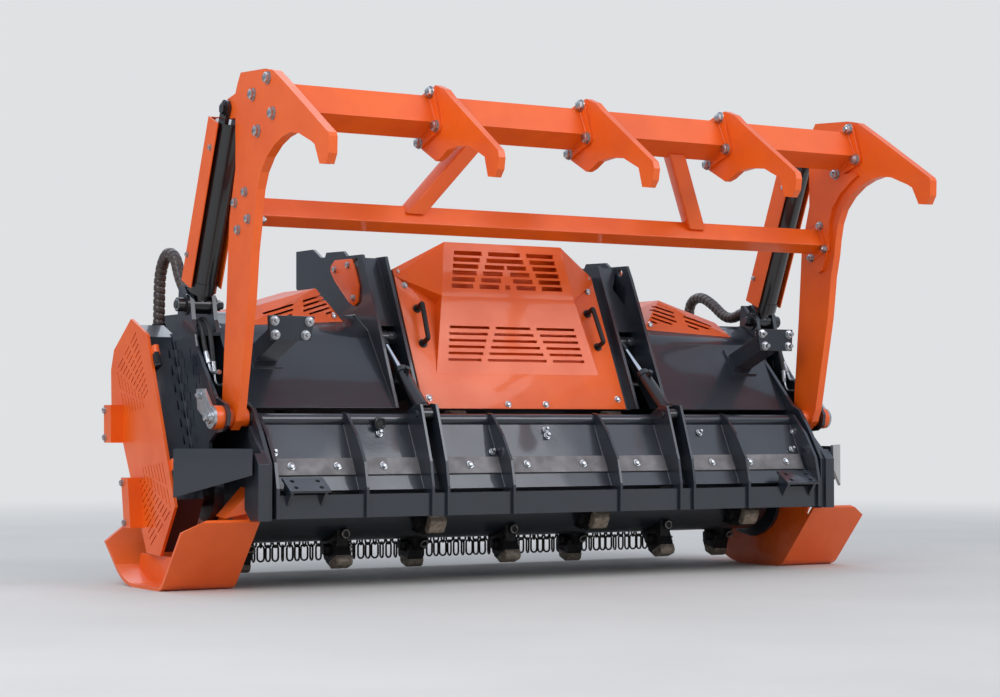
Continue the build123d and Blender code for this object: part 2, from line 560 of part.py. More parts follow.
for side, sign in SIDES:
    case = profile(case_plate, sign * CASE_INNER_X, sign * (CASE_INNER_X + PLATE))
    walls = profile(case_wall, sign * (CASE_INNER_X + PLATE), sign * CASE_OUTER_X)
    for column, slot_x in enumerate(FRONT_SLOT_X):
        for row in range(FRONT_SLOT_ROWS):
            place = along((568, 850), (338, 330), 32 + 64.5 * (row + column / 2))
            x = sign * (CASE_INNER_X + slot_x)
            walls -= block(x - 3, x + 3, place[0] - 9, place[0] + 9, place[1] - 15, place[1] + 15)
    case += walls
    case += block(sign * SIDE_OUTER_X, sign * CASE_INNER_X, 600, 600 + PLATE, 260, 850)
    bridge = block(sign * SIDE_OUTER_X, sign * (CASE_INNER_X + PLATE), 380, 955, 850, 850 + PLATE)
    case += bridge
    ear_outline = [
        (380, 862), (400, 905), (420, 990), (470, 990), (500, 1022), (515, 1022), (530, 880), (560, 862),
    ]
    ear_face = PUSH_EYE_HALF_WIDTH + PUSH_EAR_GAP
    for ear_from, ear_to, head_end in (
        (ARM_X - ear_face, ARM_X - ear_face - THICK_PLATE, SIDE_PLATE_X - 20),
        (ARM_X + ear_face, ARM_X + ear_face + THICK_PLATE, CASE_INNER_X + 54),
    ):
        case += section(ear_outline, sign * ear_from, sign * ear_to)
        case += disc(PUSH_PIN, PUSH_PIN_RADIUS - 3, sign * ear_to, sign * head_end)
    case += block(sign * (ARM_X - ear_face), sign * (ARM_X + ear_face), 500, 512, 975, 1022)
    wing_run = (WING_END[0] - WING_START[0], WING_END[1] - WING_START[1])
    wing_length = math.hypot(*wing_run)
    wing_plane = Plane(
        origin=(sign * WING_START[0], WING_START[1], 0), x_dir=(sign * wing_run[0], wing_run[1], 0),
        z_dir=(sign * wing_run[1], -wing_run[0], 0))
    rise = 1 if (wing_plane.y_dir.Z > 0) else -1
    wing_points = [
        (0, rise * WING_INNER_BOTTOM_Z), (wing_length, rise * WING_OUTER_BOTTOM_Z),
        (wing_length, rise * WING_TOP_Z), (0, rise * WING_TOP_Z),
    ]
    case += extrude(wing_plane * make_face(Polyline(*wing_points, close=True)), amount=-WING_THICKNESS)
    wing_web = [(160, 335), (160, 465), (335, 465), (300, 335)]
    case += section(wing_web, sign * (CASE_OUTER_X - PLATE), sign * CASE_OUTER_X)
    for place in KNUCKLE_PLACES:
        low_end = along(HINGE_LOW, HINGE_HIGH, place)
        middle = along(HINGE_LOW, HINGE_HIGH, place + KNUCKLE_LENGTH)
        high_end = along(HINGE_LOW, HINGE_HIGH, place + 2 * KNUCKLE_LENGTH)
        knuckle = bar((sign * HINGE_X, *low_end), (sign * HINGE_X, *middle), KNUCKLE_RADIUS)
        knuckle += bar((sign * HINGE_X, *low_end), (sign * HINGE_X, *high_end), HINGE_PIN_RADIUS)
        leaf = [low_end, (low_end[0] + 40, low_end[1] - 17), (middle[0] + 40, middle[1] - 17), middle]
        case += knuckle + section(leaf, sign * (HINGE_X - 10), sign * (HINGE_X - 2))
    save(f"drive_case_{side}", case)

# Belts round the pulleys, and the pulleys on the ends of the drive shafts
PULLEY_FROM_X = CASE_INNER_X + PLATE + 10
belt_inside = make_hull(
    (Pos(*ROTOR_CENTER) * Circle(ROTOR_PULLEY_RADIUS + SEAT_GAP)).edges()
    + (Pos(*DRIVE_CENTER) * Circle(DRIVE_PULLEY_RADIUS + SEAT_GAP)).edges())
belt_outside = make_hull(
    (Pos(*ROTOR_CENTER) * Circle(ROTOR_PULLEY_RADIUS + BELT_THICKNESS)).edges()
    + (Pos(*DRIVE_CENTER) * Circle(DRIVE_PULLEY_RADIUS + BELT_THICKNESS)).edges())
belts = []
pulleys = []
belt_from = PULLEY_FROM_X + (PULLEY_WIDTH - BELT_WIDTH) / 2
for side, sign in SIDES:
    belts.append(profile(belt_outside - belt_inside, sign * belt_from, sign * (belt_from + BELT_WIDTH)))
    pulley_to = PULLEY_FROM_X + PULLEY_WIDTH
    pulley = disc(DRIVE_CENTER, DRIVE_PULLEY_RADIUS, sign * PULLEY_FROM_X, sign * pulley_to)
    pulley += disc(DRIVE_CENTER, DRIVE_SHAFT_RADIUS, sign * (SIDE_PLATE_X - 60), sign * (pulley_to + 8))
    pulleys.append(pulley)
save("drive_belts", Compound(belts))
save("drive_pulleys", Compound(pulleys))

# Hinged side covers. Their slots are parallel cuts bounded by rays from one point in each half:
# columns are the first and last ray in degrees, the direction square to the slots, and their count
COVER_OUTLINE = [
    (691, 916), (547, 858), (291, 276), (418, 106), (537, 113), (759, 484), (872, 618), (878, 742),
    (850, 812),
]
COVER_APEX = (502, 611)
COVER_MIDDLE = (572, 503.5)
COVER_SLOT_PITCH = 22.8
COVER_SLOT_WIDTH = 5
COVER_SLOT_START = 62
COVER_BANDS = (
    (24, 33, 54.5, 11), (36, 46, 54.5, 11), (49, 61, 54.5, 11), (-6, 10, -27.4, 8), (12.5, 21.5, -27.4, 8),
)
side_cover_face = make_face(Polyline(*COVER_OUTLINE, close=True))
half_slots = []
for ray_from, ray_to, square, count in COVER_BANDS:
    for index in range(count):
        distance = COVER_SLOT_START + COVER_SLOT_PITCH * index
        ends = []
        for ray in (ray_from, ray_to):
            reach = distance / math.cos(math.radians(ray - square))
            ends.append((
                COVER_APEX[0] + reach * math.cos(math.radians(ray)),
                COVER_APEX[1] + reach * math.sin(math.radians(ray))))
        length = math.dist(*ends)
        middle = ((ends[0][0] + ends[1][0]) / 2, (ends[0][1] + ends[1][1]) / 2)
        slot = Pos(*middle) * Rot(0, 0, square) * Rectangle(COVER_SLOT_WIDTH, length)
        half_slots.append(slot)
turn = Pos(*COVER_MIDDLE) * Rot(0, 0, 180) * Pos(-COVER_MIDDLE[0], -COVER_MIDDLE[1])
side_cover_face -= half_slots + [turn * slot for slot in half_slots]
LOCK_BOXES = (
    ((758, 485), (762, 617), (828, 617), (825, 485)),
    ((571, 196), (601, 366), (662, 366), (631, 194)),
)
LOCK_DEPTH = 45
for side, sign in SIDES:
    outer_face = COVER_INNER_X + SIDE_COVER_SHEET
    cover = profile(side_cover_face, sign * COVER_INNER_X, sign * outer_face)
    for place in KNUCKLE_PLACES:
        low_end = along(HINGE_LOW, HINGE_HIGH, place + KNUCKLE_LENGTH + 0.5)
        high_end = along(HINGE_LOW, HINGE_HIGH, place + 2 * KNUCKLE_LENGTH)
        leaf = [low_end, (low_end[0] + 40, low_end[1] - 17), (high_end[0] + 40, high_end[1] - 17), high_end]
        cover += section(leaf, sign * (HINGE_X + 4), sign * (COVER_INNER_X + 2))
        knuckle_ends = ((sign * HINGE_X, *low_end), (sign * HINGE_X, *high_end))
        cover += bar(*knuckle_ends, KNUCKLE_RADIUS)
        cover -= bar(*knuckle_ends, HINGE_PIN_RADIUS + RUNNING_CLEARANCE)
    for corners in LOCK_BOXES:
        cover += section(corners, sign * (outer_face - 1), sign * (outer_face + LOCK_DEPTH))
    save(f"side_cover_{side}", cover)

# Skids: sole strip rolled up at both ends, an inner web round the rotor bearing and a low outer web
SOLE_FRONT = (262, 0)
SOLE_REAR = (596, 0)
SKID_NOSE = (60, 231)
SKID_TAIL = (842, 195)
NOSE_RADIUS = 60
TAIL_RADIUS = 260
WEB_CUT_RADIUS = 110
half_sole = SKID_THICKNESS / 2
sole_middle = FilletPolyline(
    (SKID_NOSE[0] + 4, SKID_NOSE[1] + 4), (SOLE_FRONT[0] + 3, half_sole), (SOLE_REAR[0] - 2, half_sole),
    (SKID_TAIL[0] - 4, SKID_TAIL[1] + 5), radius=[NOSE_RADIUS, TAIL_RADIUS])
NOSE_CUT = ((1290, 265), (1425, 265), (1425, 196))
TAIL_CUT = ((1290, 212), (1425, 212), (1425, 140))
web_sole = [(246, 28), (264, 12), (285, 8), (502, 8), (560, 16), (600, 26), (640, 45)]
inner_web = [
    (112, 330), (112, 184), *web_sole, (673, 65), (760, 132), (825, 188), (809, 206), (673, 246),
    (572, 255), (225, 255), (190, 342),
]
web_wedge = (
    (PLATE, 112, 258), (PLATE, 112, 328), (PLATE, 190, 340), (PLATE, 225, 258), (85, 150, 240),
    (85, 225, 246),
)
outer_web = [(185, 100), *web_sole, (655, 62), (640, 106), (430, 106)]
for side, sign in SIDES:
    skid = profile(trace(sole_middle, line_width=SKID_THICKNESS), sign * SKID_INNER_X, sign * SKID_OUTER_X)
    web = section(inner_web, sign * SKID_INNER_X, sign * (SKID_INNER_X + PLATE))
    skid += web - disc(ROTOR_CENTER, WEB_CUT_RADIUS, sign * SKID_INNER_X, sign * (SKID_INNER_X + PLATE))
    skid += section(outer_web, sign * (CASE_OUTER_X - 16), sign * (CASE_OUTER_X - 4))
    skid += ConvexPolyhedron([(sign * (SKID_INNER_X + x), y, z) for x, y, z in web_wedge])
    for corners, y_from, y_to in ((NOSE_CUT, 0, 200), (TAIL_CUT, 700, 900)):
        corner_plane = Plane.XZ.offset(-y_to)
        cut_outline = [(sign * x, z) for x, z in corners]
        skid -= extrude(corner_plane * make_face(Polyline(*cut_outline, close=True)), amount=y_to - y_from)
    save(f"skid_{side}", skid)

# Pivot pins of the push frame with their zinc keeper plates
KEEPER_SPACER = 30
KEEPER_TOP = ((209, 667), (272, 667), (262, 600), (185, 560))
for side, sign in SIDES:
    keeper_from = CASE_INNER_X + PLATE + KEEPER_SPACER
    keeper_to = keeper_from + 10
    pin = disc(PUSH_PIVOT, PIVOT_RADIUS, sign * SIDE_OUTER_X, sign * (keeper_to + 10))
    keeper = section([(135, 592), *KEEPER_TOP], sign * keeper_from, sign * keeper_to)
    keeper += disc(PUSH_PIVOT, 38, sign * (keeper_from - KEEPER_SPACER), sign * keeper_to)
    save(f"pivot_pin_{side}", pin + keeper)

# Wrapped hoses: from the elbow behind the bracket up in a loop and down to the drive case
HOSE_RADIUS = 22
HOSE_ROUTES = {
    "left": (
        (512, 1000), (558, 1000), (622, 1062), (660, 1138), (738, 1158), (800, 1090), (808, 985), (808, 862),
    ),
    "right": (
        (512, 1000), (566, 1000), (620, 978), (686, 984), (772, 1044), (852, 1078), (922, 1058), (936, 985),
        (936, 862),
    ),
}
for side, sign in SIDES:
    points = [Vector(sign * ARM_X, y, z) for y, z in HOSE_ROUTES[side]]
    radii = []
    for before, point, after in zip(points, points[1:], points[2:]):
        half_turn = math.radians((point - before).get_angle(after - point)) / 2
        shorter = min((point - before).length, (after - point).length)
        radii.append(0.45 * shorter / math.tan(half_turn))
    print("hose radii", side, [round(radius) for radius in radii])
    path = FilletPolyline(*points, radius=radii)
    hose = sweep(Plane(origin=path @ 0, z_dir=path % 0) * Circle(HOSE_RADIUS), path=path)
    save(f"hose_{side}", hose)

# Door: tube, panel, ribs with levers, beam with foot plates, wear strip
tube_end = DOOR_HALF_WIDTH + DOOR_SIDE_GAP / 2
hinge_tube = disc(DOOR_HINGE, DOOR_TUBE_RADIUS, -tube_end, tube_end)
hinge_tube += disc(DOOR_HINGE, DOOR_PIN_RADIUS, -SIDE_OUTER_X, SIDE_OUTER_X)
save("door_tube", hinge_tube)

inside_half = DOOR_HALF_WIDTH - END_RIB_THICKNESS
door_panel = slab(DOOR_PANEL_BOTTOM, DOOR_PANEL_TOP, 0, PLATE, -inside_half, inside_half)
door_panel -= disc(DOOR_HINGE, DOOR_TUBE_RADIUS, -inside_half, inside_half)
save("door_panel", door_panel)
strip_low = along(DOOR_PANEL_BOTTOM, DOOR_PANEL_TOP, 54)
strip_high = along(DOOR_PANEL_BOTTOM, DOOR_PANEL_TOP, 54 + WEAR_STRIP_WIDTH)
strip = slab(strip_low, strip_high, -7, 0, -inside_half + SHEET, inside_half - SHEET)

rib_foot = [
    (-12, DOOR_BEAM_BOTTOM_Z), (0, DOOR_BEAM_BOTTOM_Z), (0, 317), DOOR_PANEL_BOTTOM, DOOR_PANEL_TOP,
    (174, 560),
]
rib_head = [(196, 564), (190, 582), (174, 590)]
rib_front = [(140, 586), (66, 512), (8, 425), (-12, 340)]
lever_front = [(110, 622), (75, 618), (62, 585), (4, 425), (-12, 340)]
end_outline = [
    *rib_head, *rib_front, (-12, DOOR_BEAM_BOTTOM_Z), (80, DOOR_BEAM_BOTTOM_Z), (80, 320), (56, 324),
    (168, 540),
]
ribs = []
for sign in (-1, 1):
    for rib_x in SINGLE_RIBS_X:
        ribs.append(section([*rib_head, *rib_front, *rib_foot], sign * rib_x, sign * (rib_x + RIB_THICKNESS)))
    for rib_x in LEVER_RIBS_X:
        x_from = rib_x - RIB_THICKNESS / 2
        x_to = x_from + RIB_THICKNESS
        ribs.append(section([*rib_head, *lever_front, *rib_foot], sign * x_from, sign * x_to))
    ribs.append(section(end_outline, sign * inside_half, sign * DOOR_HALF_WIDTH))
    lever_edge = RIB_THICKNESS / 2 + 6
    pin_ends = (LEVER_RIBS_X[0] - lever_edge, LEVER_RIBS_X[1] + lever_edge)
    ribs.append(disc(DOOR_CYLINDER_LOW, 12, sign * pin_ends[0], sign * pin_ends[1]))
door_ribs = Compound(ribs) - disc(DOOR_HINGE, DOOR_TUBE_RADIUS, -DOOR_HALF_WIDTH, DOOR_HALF_WIDTH)
save("door_ribs", door_ribs)
save("door_wear_strip", strip - door_ribs)

beam_top = DOOR_BEAM_BOTTOM_Z + DOOR_BEAM_HEIGHT
door_beam = block(-inside_half, inside_half, 0, DOOR_BEAM_DEPTH, DOOR_BEAM_BOTTOM_Z, beam_top)
door_beam -= block(
    -inside_half, inside_half, TUBE_WALL, DOOR_BEAM_DEPTH - TUBE_WALL,
    DOOR_BEAM_BOTTOM_Z + TUBE_WALL, beam_top - TUBE_WALL)
FOOT_FRONT = (-45, 332)
FOOT_BACK = (20, 375)
foot_slope = math.degrees(math.atan2(FOOT_BACK[1] - FOOT_FRONT[1], FOOT_BACK[0] - FOOT_FRONT[0]))
for sign in (-1, 1):
    foot = section(
        [FOOT_FRONT, FOOT_BACK, (FOOT_BACK[0] + 5, FOOT_BACK[1] - 7), (FOOT_FRONT[0] + 5, FOOT_FRONT[1] - 7)],
        sign * FOOT_PLATE_X[0], sign * FOOT_PLATE_X[1])
    for hole_x in (FOOT_PLATE_X[0] + 28, FOOT_PLATE_X[1] - 28):
        for part in (20, 56):
            hole = along(FOOT_FRONT, FOOT_BACK, part)
            foot -= Pos(sign * hole_x, *hole) * Rot(foot_slope, 0, 0) * Cylinder(8, 40)
    for web_x in (FOOT_PLATE_X[0] + 8, FOOT_PLATE_X[1] - 18):
        web_outline = [(-40, 330), (20, 369), (24, beam_top), (0, beam_top), (0, 280)]
        foot += section(web_outline, sign * web_x, sign * (web_x + RIB_THICKNESS))
    door_beam += foot
save("door_beam", door_beam - door_ribs)

# Door cylinders
for side, sign in SIDES:
    x = sign * DOOR_CYLINDER_X
    low = DOOR_CYLINDER_LOW
    high = DOOR_CYLINDER_HIGH
    barrel_start = along(low, high, 18)
    barrel_end = along(low, high, DOOR_BARREL_LENGTH)
    barrel = bar((x, *barrel_start), (x, *barrel_end), DOOR_BARREL_RADIUS)
    barrel += disc(low, 22, x - DOOR_EYE_HALF_WIDTH, x + DOOR_EYE_HALF_WIDTH)
    barrel -= disc(low, 12 + SEAT_GAP, x - DOOR_EYE_HALF_WIDTH, x + DOOR_EYE_HALF_WIDTH)
    bore_start = along(low, high, 60)
    barrel -= bar((x, *bore_start), (x, *barrel_end), DOOR_ROD_RADIUS + SEAT_GAP)
    save(f"door_barrel_{side}", barrel)
    rod_start = along(low, high, 150)
    rod = bar((x, *rod_start), (x, *high), DOOR_ROD_RADIUS)
    rod += disc(high, 24, x - DOOR_EYE_HALF_WIDTH, x + DOOR_EYE_HALF_WIDTH)
    save(f"door_rod_{side}", rod)

# Rotor: drum of rolled plate with end discs, shaft necks and belt pulleys, and its bolted tools
drum_half = SIDE_PLATE_X - DRUM_END_GAP
drum = tube(ROTOR_CENTER, DRUM_RADIUS, DRUM_WALL, -drum_half, drum_half)
for sign in (-1, 1):
    drum_end = sign * (drum_half - 25)
    drum += disc(ROTOR_CENTER, DRUM_RADIUS - 5, drum_end, sign * (drum_half - 5))
    drum += disc(ROTOR_CENTER, SHAFT_RADIUS, drum_end, sign * (SIDE_OUTER_X + BEARING_DEPTH))
    drum += disc(ROTOR_CENTER, SHAFT_NECK_RADIUS, drum_end, sign * (PULLEY_FROM_X + PULLEY_WIDTH + 8))
    pulley_ends = (sign * PULLEY_FROM_X, sign * (PULLEY_FROM_X + PULLEY_WIDTH))
    drum += disc(ROTOR_CENTER, ROTOR_PULLEY_RADIUS, *pulley_ends)
    vent = (ROTOR_CENTER[0], ROTOR_CENTER[1] + 110)
    drum -= disc(vent, 10, sign * (drum_half - 30), sign * drum_half)
save("rotor_drum", drum)
tools = []
for index in range(TOOL_COUNT):
    x = (index - (TOOL_COUNT - 1) / 2) * TOOL_PITCH
    holder_outline = [(-72, 150), (72, 150), (58, 200), (30, 236), (-30, 236), (-56, 206)]
    holder = section(holder_outline, -HOLDER_WIDTH / 2, HOLDER_WIDTH / 2)
    tip = TOOL_TIP_RADIUS - 5
    hammer_outline = [(-34, 196), (44, 196), (50, tip - 12), (40, tip), (0, tip), (-34, tip - 34)]
    hammer = section(hammer_outline, -TOOL_WIDTH / 2, TOOL_WIDTH / 2)
    tool = Rot(TOOL_FIRST_ANGLE + index * TOOL_STEP_ANGLE, 0, 0) * (holder + hammer)
    tool -= disc((0, 0), DRUM_RADIUS, -TOOL_WIDTH, TOOL_WIDTH)
    tools.append(Pos(x, *ROTOR_CENTER) * tool)
save("rotor_tools", Compound(tools))

# Push frame: arms with their end hooks and an inner doubler along the front edge
arm_outline = [
    (84, 1704), (-107, 1691), (-165, 1678), (-275, 1612), (-555, 1437), (-562, 1424), (-560, 1372),
    (-540, 1341), (-498, 1345), (-464, 1408), (-440, 1421), (-350, 1456), (-290, 1465), (-235, 1457),
    (-178, 1439), (-121, 1406), (-75, 1361), (-48, 1309), (-34, 1251), (-25, 1192), (-5, 1110), (16, 953),
    (91, 607), (112, 560), (150, 530), (190, 550), (224, 608), (190, 961), (169, 1232), (122, 1391),
    (124, 1560), (180, 1562), (186, 1630), (126, 1640), (108, 1672),
]
doubler_outline = [
    (-160, 1490), (-173, 1479), (-135, 1459), (-73, 1419), (-27, 1368), (-9, 1315), (-4, 1235), (14, 1177),
    (33, 1138), (56, 1128), (84, 1140), (126, 1240), (104, 1391), (70, 1500),
]
arm_inner = ARM_X - ARM_THICKNESS / 2
arm_outer = ARM_X + ARM_THICKNESS / 2
for side, sign in SIDES:
    arm = section(arm_outline, sign * arm_inner, sign * arm_outer)
    doubler_from = sign * (arm_inner - PLATE)
    doubler = section(doubler_outline, doubler_from, sign * arm_inner)
    doubler -= flange(TOP_BEAM_CENTER, TOP_FLANGE_SIZE, doubler_from, sign * arm_inner)
    arm += doubler - flange(LOWER_BEAM_CENTER, LOWER_FLANGE_SIZE, doubler_from, sign * arm_inner)
    hub_inner = sign * (SIDE_OUTER_X + SHEET)
    hub_outer = sign * (CASE_INNER_X - SHEET / 2)
    arm += disc(PUSH_PIVOT, 31, hub_inner, hub_outer)
    arm -= disc(PUSH_PIVOT, PIVOT_RADIUS + SEAT_GAP, hub_inner, hub_outer)
    arm += disc(PUSH_EYE, EYE_TAB_RADIUS, sign * arm_inner, sign * arm_outer)
    arm -= disc(PUSH_EYE, PUSH_EYE_PIN_RADIUS + SEAT_GAP, sign * arm_inner, sign * arm_outer)
    save(f"arm_{side}", arm)

top_beam = square_tube(TOP_BEAM_CENTER, TOP_BEAM_SIZE, TUBE_WALL, -arm_inner, arm_inner)
lower_beam = square_tube(LOWER_BEAM_CENTER, LOWER_BEAM_SIZE, TUBE_WALL, -arm_inner, arm_inner)
for sign in (-1, 1):
    flange_from = sign * (arm_inner - PLATE)
    top_beam += flange(TOP_BEAM_CENTER, TOP_FLANGE_SIZE, flange_from, sign * arm_inner)
    lower_beam += flange(LOWER_BEAM_CENTER, LOWER_FLANGE_SIZE, flange_from, sign * arm_inner)
save("top_beam", top_beam)
save("lower_beam", lower_beam)

# Braces between the two beams
tilt = math.radians(BEAM_TILT)
top_skin = (
    TOP_BEAM_CENTER[0] + TOP_BEAM_SIZE / 2 * math.sin(tilt),
    TOP_BEAM_CENTER[1] - TOP_BEAM_SIZE / 2 * math.cos(tilt),
)
low_skin = (
    LOWER_BEAM_CENTER[0] - LOWER_BEAM_SIZE / 2 * math.sin(tilt),
    LOWER_BEAM_CENTER[1] + LOWER_BEAM_SIZE / 2 * math.cos(tilt),
)
braces = []
for sign in (-1, 1):
    start = Vector(sign * BRACE_LOW_X, *low_skin)
    end = Vector(sign * BRACE_HIGH_X, *top_skin)
    plane = Plane(origin=start, z_dir=end - start, x_dir=(1, 0, 0))
    brace = extrude(plane * Rectangle(BRACE_SIZE, BRACE_SIZE), amount=(end - start).length)
    brace -= square_tube(TOP_BEAM_CENTER, TOP_BEAM_SIZE, TOP_BEAM_SIZE / 2 - 1, -arm_inner, arm_inner)
    brace -= square_tube(LOWER_BEAM_CENTER, LOWER_BEAM_SIZE, LOWER_BEAM_SIZE / 2 - 1, -arm_inner, arm_inner)
    braces.append(brace)
save("frame_braces", Compound(braces))

# Middle claws with their bolted flange on the top beam
claw_outline = [
    (-95, 1672), (-142, 1681), (-200, 1660), (-235, 1632), (-545, 1421), (-552, 1398), (-545, 1360),
    (-524, 1336), (-482, 1342), (-461, 1408), (-369, 1451), (-291, 1460), (-223, 1455), (-177, 1434),
    (-143, 1426), (-45, 1476), (-22, 1505), (18, 1600), (8, 1640), (-20, 1652),
]
claws = []
for x in CLAW_X:
    half = CLAW_THICKNESS / 2
    claw = section(claw_outline, x - half, x + half)
    claw += flange(TOP_BEAM_CENTER, TOP_FLANGE_SIZE, x - half - PLATE, x - half)
    slot_face = Pos(*TOP_BEAM_CENTER) * Rot(0, 0, -BEAM_TILT) * Rectangle(TOP_BEAM_SIZE, TOP_BEAM_SIZE)
    claws.append(claw - profile(slot_face, x - 2 * CLAW_THICKNESS, x + 2 * CLAW_THICKNESS))
save("claws", Compound(claws))

# Push cylinders with their guards; the pin of the lower eye stays in the rod
for side, sign in SIDES:
    x = sign * ARM_X
    barrel_start = along(PUSH_EYE, PUSH_PIN, PUSH_BARREL_START)
    barrel_end = along(PUSH_EYE, PUSH_PIN, PUSH_BARREL_END)
    barrel = bar((x, *barrel_start), (x, *barrel_end), PUSH_BARREL_RADIUS)
    neck_low = along(PUSH_EYE, PUSH_PIN, PUSH_BARREL_START + 8)
    neck = [
        behind(PUSH_EYE, neck_low, PUSH_EYE, 26), behind(PUSH_EYE, neck_low, PUSH_EYE, -26),
        behind(neck_low, neck_low, PUSH_EYE, -26), behind(neck_low, neck_low, PUSH_EYE, 26)]
    for way in (-1, 1):
        fork_from = x + way * (ARM_THICKNESS / 2 + 1)
        fork_to = fork_from + way * FORK_THICKNESS
        barrel += disc(PUSH_EYE, 30, fork_from, fork_to) + section(neck, fork_from, fork_to)
    pin_reach = ARM_THICKNESS / 2 + FORK_THICKNESS + 8
    barrel += disc(PUSH_EYE, PUSH_EYE_PIN_RADIUS, x - pin_reach, x + pin_reach)
    bore_start = along(PUSH_EYE, PUSH_PIN, 120)
    barrel -= bar((x, *bore_start), (x, *barrel_end), PUSH_ROD_RADIUS + SEAT_GAP)
    save(f"push_barrel_{side}", barrel)

    rod_start = along(PUSH_EYE, PUSH_PIN, 150)
    rod = bar((x, *rod_start), (x, *PUSH_PIN), PUSH_ROD_RADIUS)
    rod += disc(PUSH_PIN, 30, x - PUSH_EYE_HALF_WIDTH, x + PUSH_EYE_HALF_WIDTH)
    save(f"push_rod_{side}", rod)

    axis = (0, PUSH_PIN[0] - PUSH_EYE[0], PUSH_PIN[1] - PUSH_EYE[1])
    axis_plane = Plane(origin=(x, *PUSH_EYE), x_dir=(1, 0, 0), z_dir=axis)
    width = 2 * GUARD_HALF_WIDTH
    depth = GUARD_FRONT + GUARD_REAR
    outside = Pos(0, (GUARD_FRONT - GUARD_REAR) / 2) * Rectangle(width, depth)
    inside = Pos(0, (GUARD_FRONT - GUARD_REAR) / 2 + GUARD_WALL) * Rectangle(width - 2 * GUARD_WALL, depth)
    channel = extrude(axis_plane.offset(GUARD_START) * (outside - inside), amount=GUARD_END - GUARD_START)
    save(f"push_guard_{side}", channel)
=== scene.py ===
import math

import bmesh
import bpy
from mathutils import Matrix, Vector


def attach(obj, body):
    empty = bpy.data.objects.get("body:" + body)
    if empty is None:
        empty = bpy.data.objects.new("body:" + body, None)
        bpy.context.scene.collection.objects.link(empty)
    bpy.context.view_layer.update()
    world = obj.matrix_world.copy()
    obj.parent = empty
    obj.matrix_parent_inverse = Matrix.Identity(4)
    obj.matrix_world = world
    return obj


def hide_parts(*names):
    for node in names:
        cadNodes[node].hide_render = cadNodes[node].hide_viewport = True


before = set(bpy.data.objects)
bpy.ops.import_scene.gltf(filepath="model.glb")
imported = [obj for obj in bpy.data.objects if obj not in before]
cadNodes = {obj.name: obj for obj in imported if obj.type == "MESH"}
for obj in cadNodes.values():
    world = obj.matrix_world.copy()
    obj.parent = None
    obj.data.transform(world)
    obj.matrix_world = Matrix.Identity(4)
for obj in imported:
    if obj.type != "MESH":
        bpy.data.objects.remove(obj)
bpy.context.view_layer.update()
scene = bpy.context.scene
print("frame loaded:", len(cadNodes), "nodes")

sides = (("left", -1), ("right", 1))
signs = (-1, 1)
middleY = 0.290  # the drawings measure Y from the door's lower edge, the frame from the middle
millimetres = Matrix.Scale(0.001, 4)
drawing = Matrix.Translation((0, -middleY, 0)) @ millimetres


def spot(x, y, z):
    # drawing millimetres to frame metres
    return Vector((x / 1000, y / 1000 - middleY, z / 1000))


def newObject(name, data):
    made = bpy.data.objects.new(name, data)
    scene.collection.objects.link(made)
    return made


# camera, at the photograph's place: 31 degrees to the machine's left, half a metre above the ground
camera = {
    "place": (-4.221, -6.838, 0.549), "look": (0.5157, 0.8560, 0.0343), "lens": 79.63, "sensor": 36,
    "reach": 200,
}
cameraData = bpy.data.cameras.new("photoCamera")
cameraData.lens = camera["lens"]
cameraData.sensor_width = camera["sensor"]
cameraData.sensor_fit = "HORIZONTAL"
cameraData.clip_end = camera["reach"]
cameraObject = newObject("photoCamera", cameraData)
cameraObject.location = camera["place"]
cameraObject.rotation_euler = Vector(camera["look"]).to_track_quat("-Z", "Y").to_euler()
scene.camera = cameraObject


def toLinear(hexColour):
    # sRGB hex to linear colour
    parts = [int(hexColour[i:i + 2], 16) / 255 for i in (1, 3, 5)]
    return [p / 12.92 if p <= 0.04045 else ((p + 0.055) / 1.055) ** 2.4 for p in parts] + [1.0]


def addNode(tree, kind, settings=None, links=None):
    # one node with its settings and the sockets that feed it
    node = tree.nodes.new(kind)
    for name, value in (settings or {}).items():
        if isinstance(name, int) or name in node.inputs:
            node.inputs[name].default_value = value
        else:
            setattr(node, name, value)
    for name, socket in (links or {}).items():
        tree.links.new(socket, node.inputs[name])
    return node


def newMaterial(name, shaderSettings):
    # material with the values that are the same all over on its shader's own sockets
    material = bpy.data.materials.new(name)
    material.use_nodes = True
    shader = material.node_tree.nodes["Principled BSDF"]
    for socket, value in shaderSettings.items():
        shader.inputs[socket].default_value = value
    return material, material.node_tree, shader


def objectCoords(tree):
    return addNode(tree, "ShaderNodeTexCoord").outputs["Object"]


def mapRange(tree, value, settings):
    return addNode(tree, "ShaderNodeMapRange", settings, {"Value": value}).outputs["Result"]


def noiseMask(tree, coords, size, low, high, detail=3.0):
    # cloudy 0 to 1 mask whose patches are about size metres across
    cloud = addNode(tree, "ShaderNodeTexNoise", {"Scale": 1 / size, "Detail": detail}, {"Vector": coords})
    return mapRange(tree, cloud.outputs["Fac"], {"From Min": low, "From Max": high})


def mixColours(tree, mask, first, second):
    # second over first where the mask is 1; each is a hex colour or the socket of one
    settings, links = {"data_type": "RGBA"}, {0: mask}
    for socket, colour in ((6, first), (7, second)):
        if isinstance(colour, str):
            settings[socket] = toLinear(colour)
        else:
            links[socket] = colour
    return addNode(tree, "ShaderNodeMix", settings, links).outputs[2]


def feedRange(tree, shader, socket, mask, low, high):
    # a value of the shader that runs from low to high with the mask
    tree.links.new(mapRange(tree, mask, {"To Min": low, "To Max": high}), shader.inputs[socket])


def addBump(tree, height, strength, depth, under=None):
    # bumps of a depth in metres, laid over others where there are any
    links = {"Height": height}
    if under:
        links["Normal"] = under
    return addNode(tree, "ShaderNodeBump", {"Strength": strength, "Distance": depth}, links).outputs["Normal"]


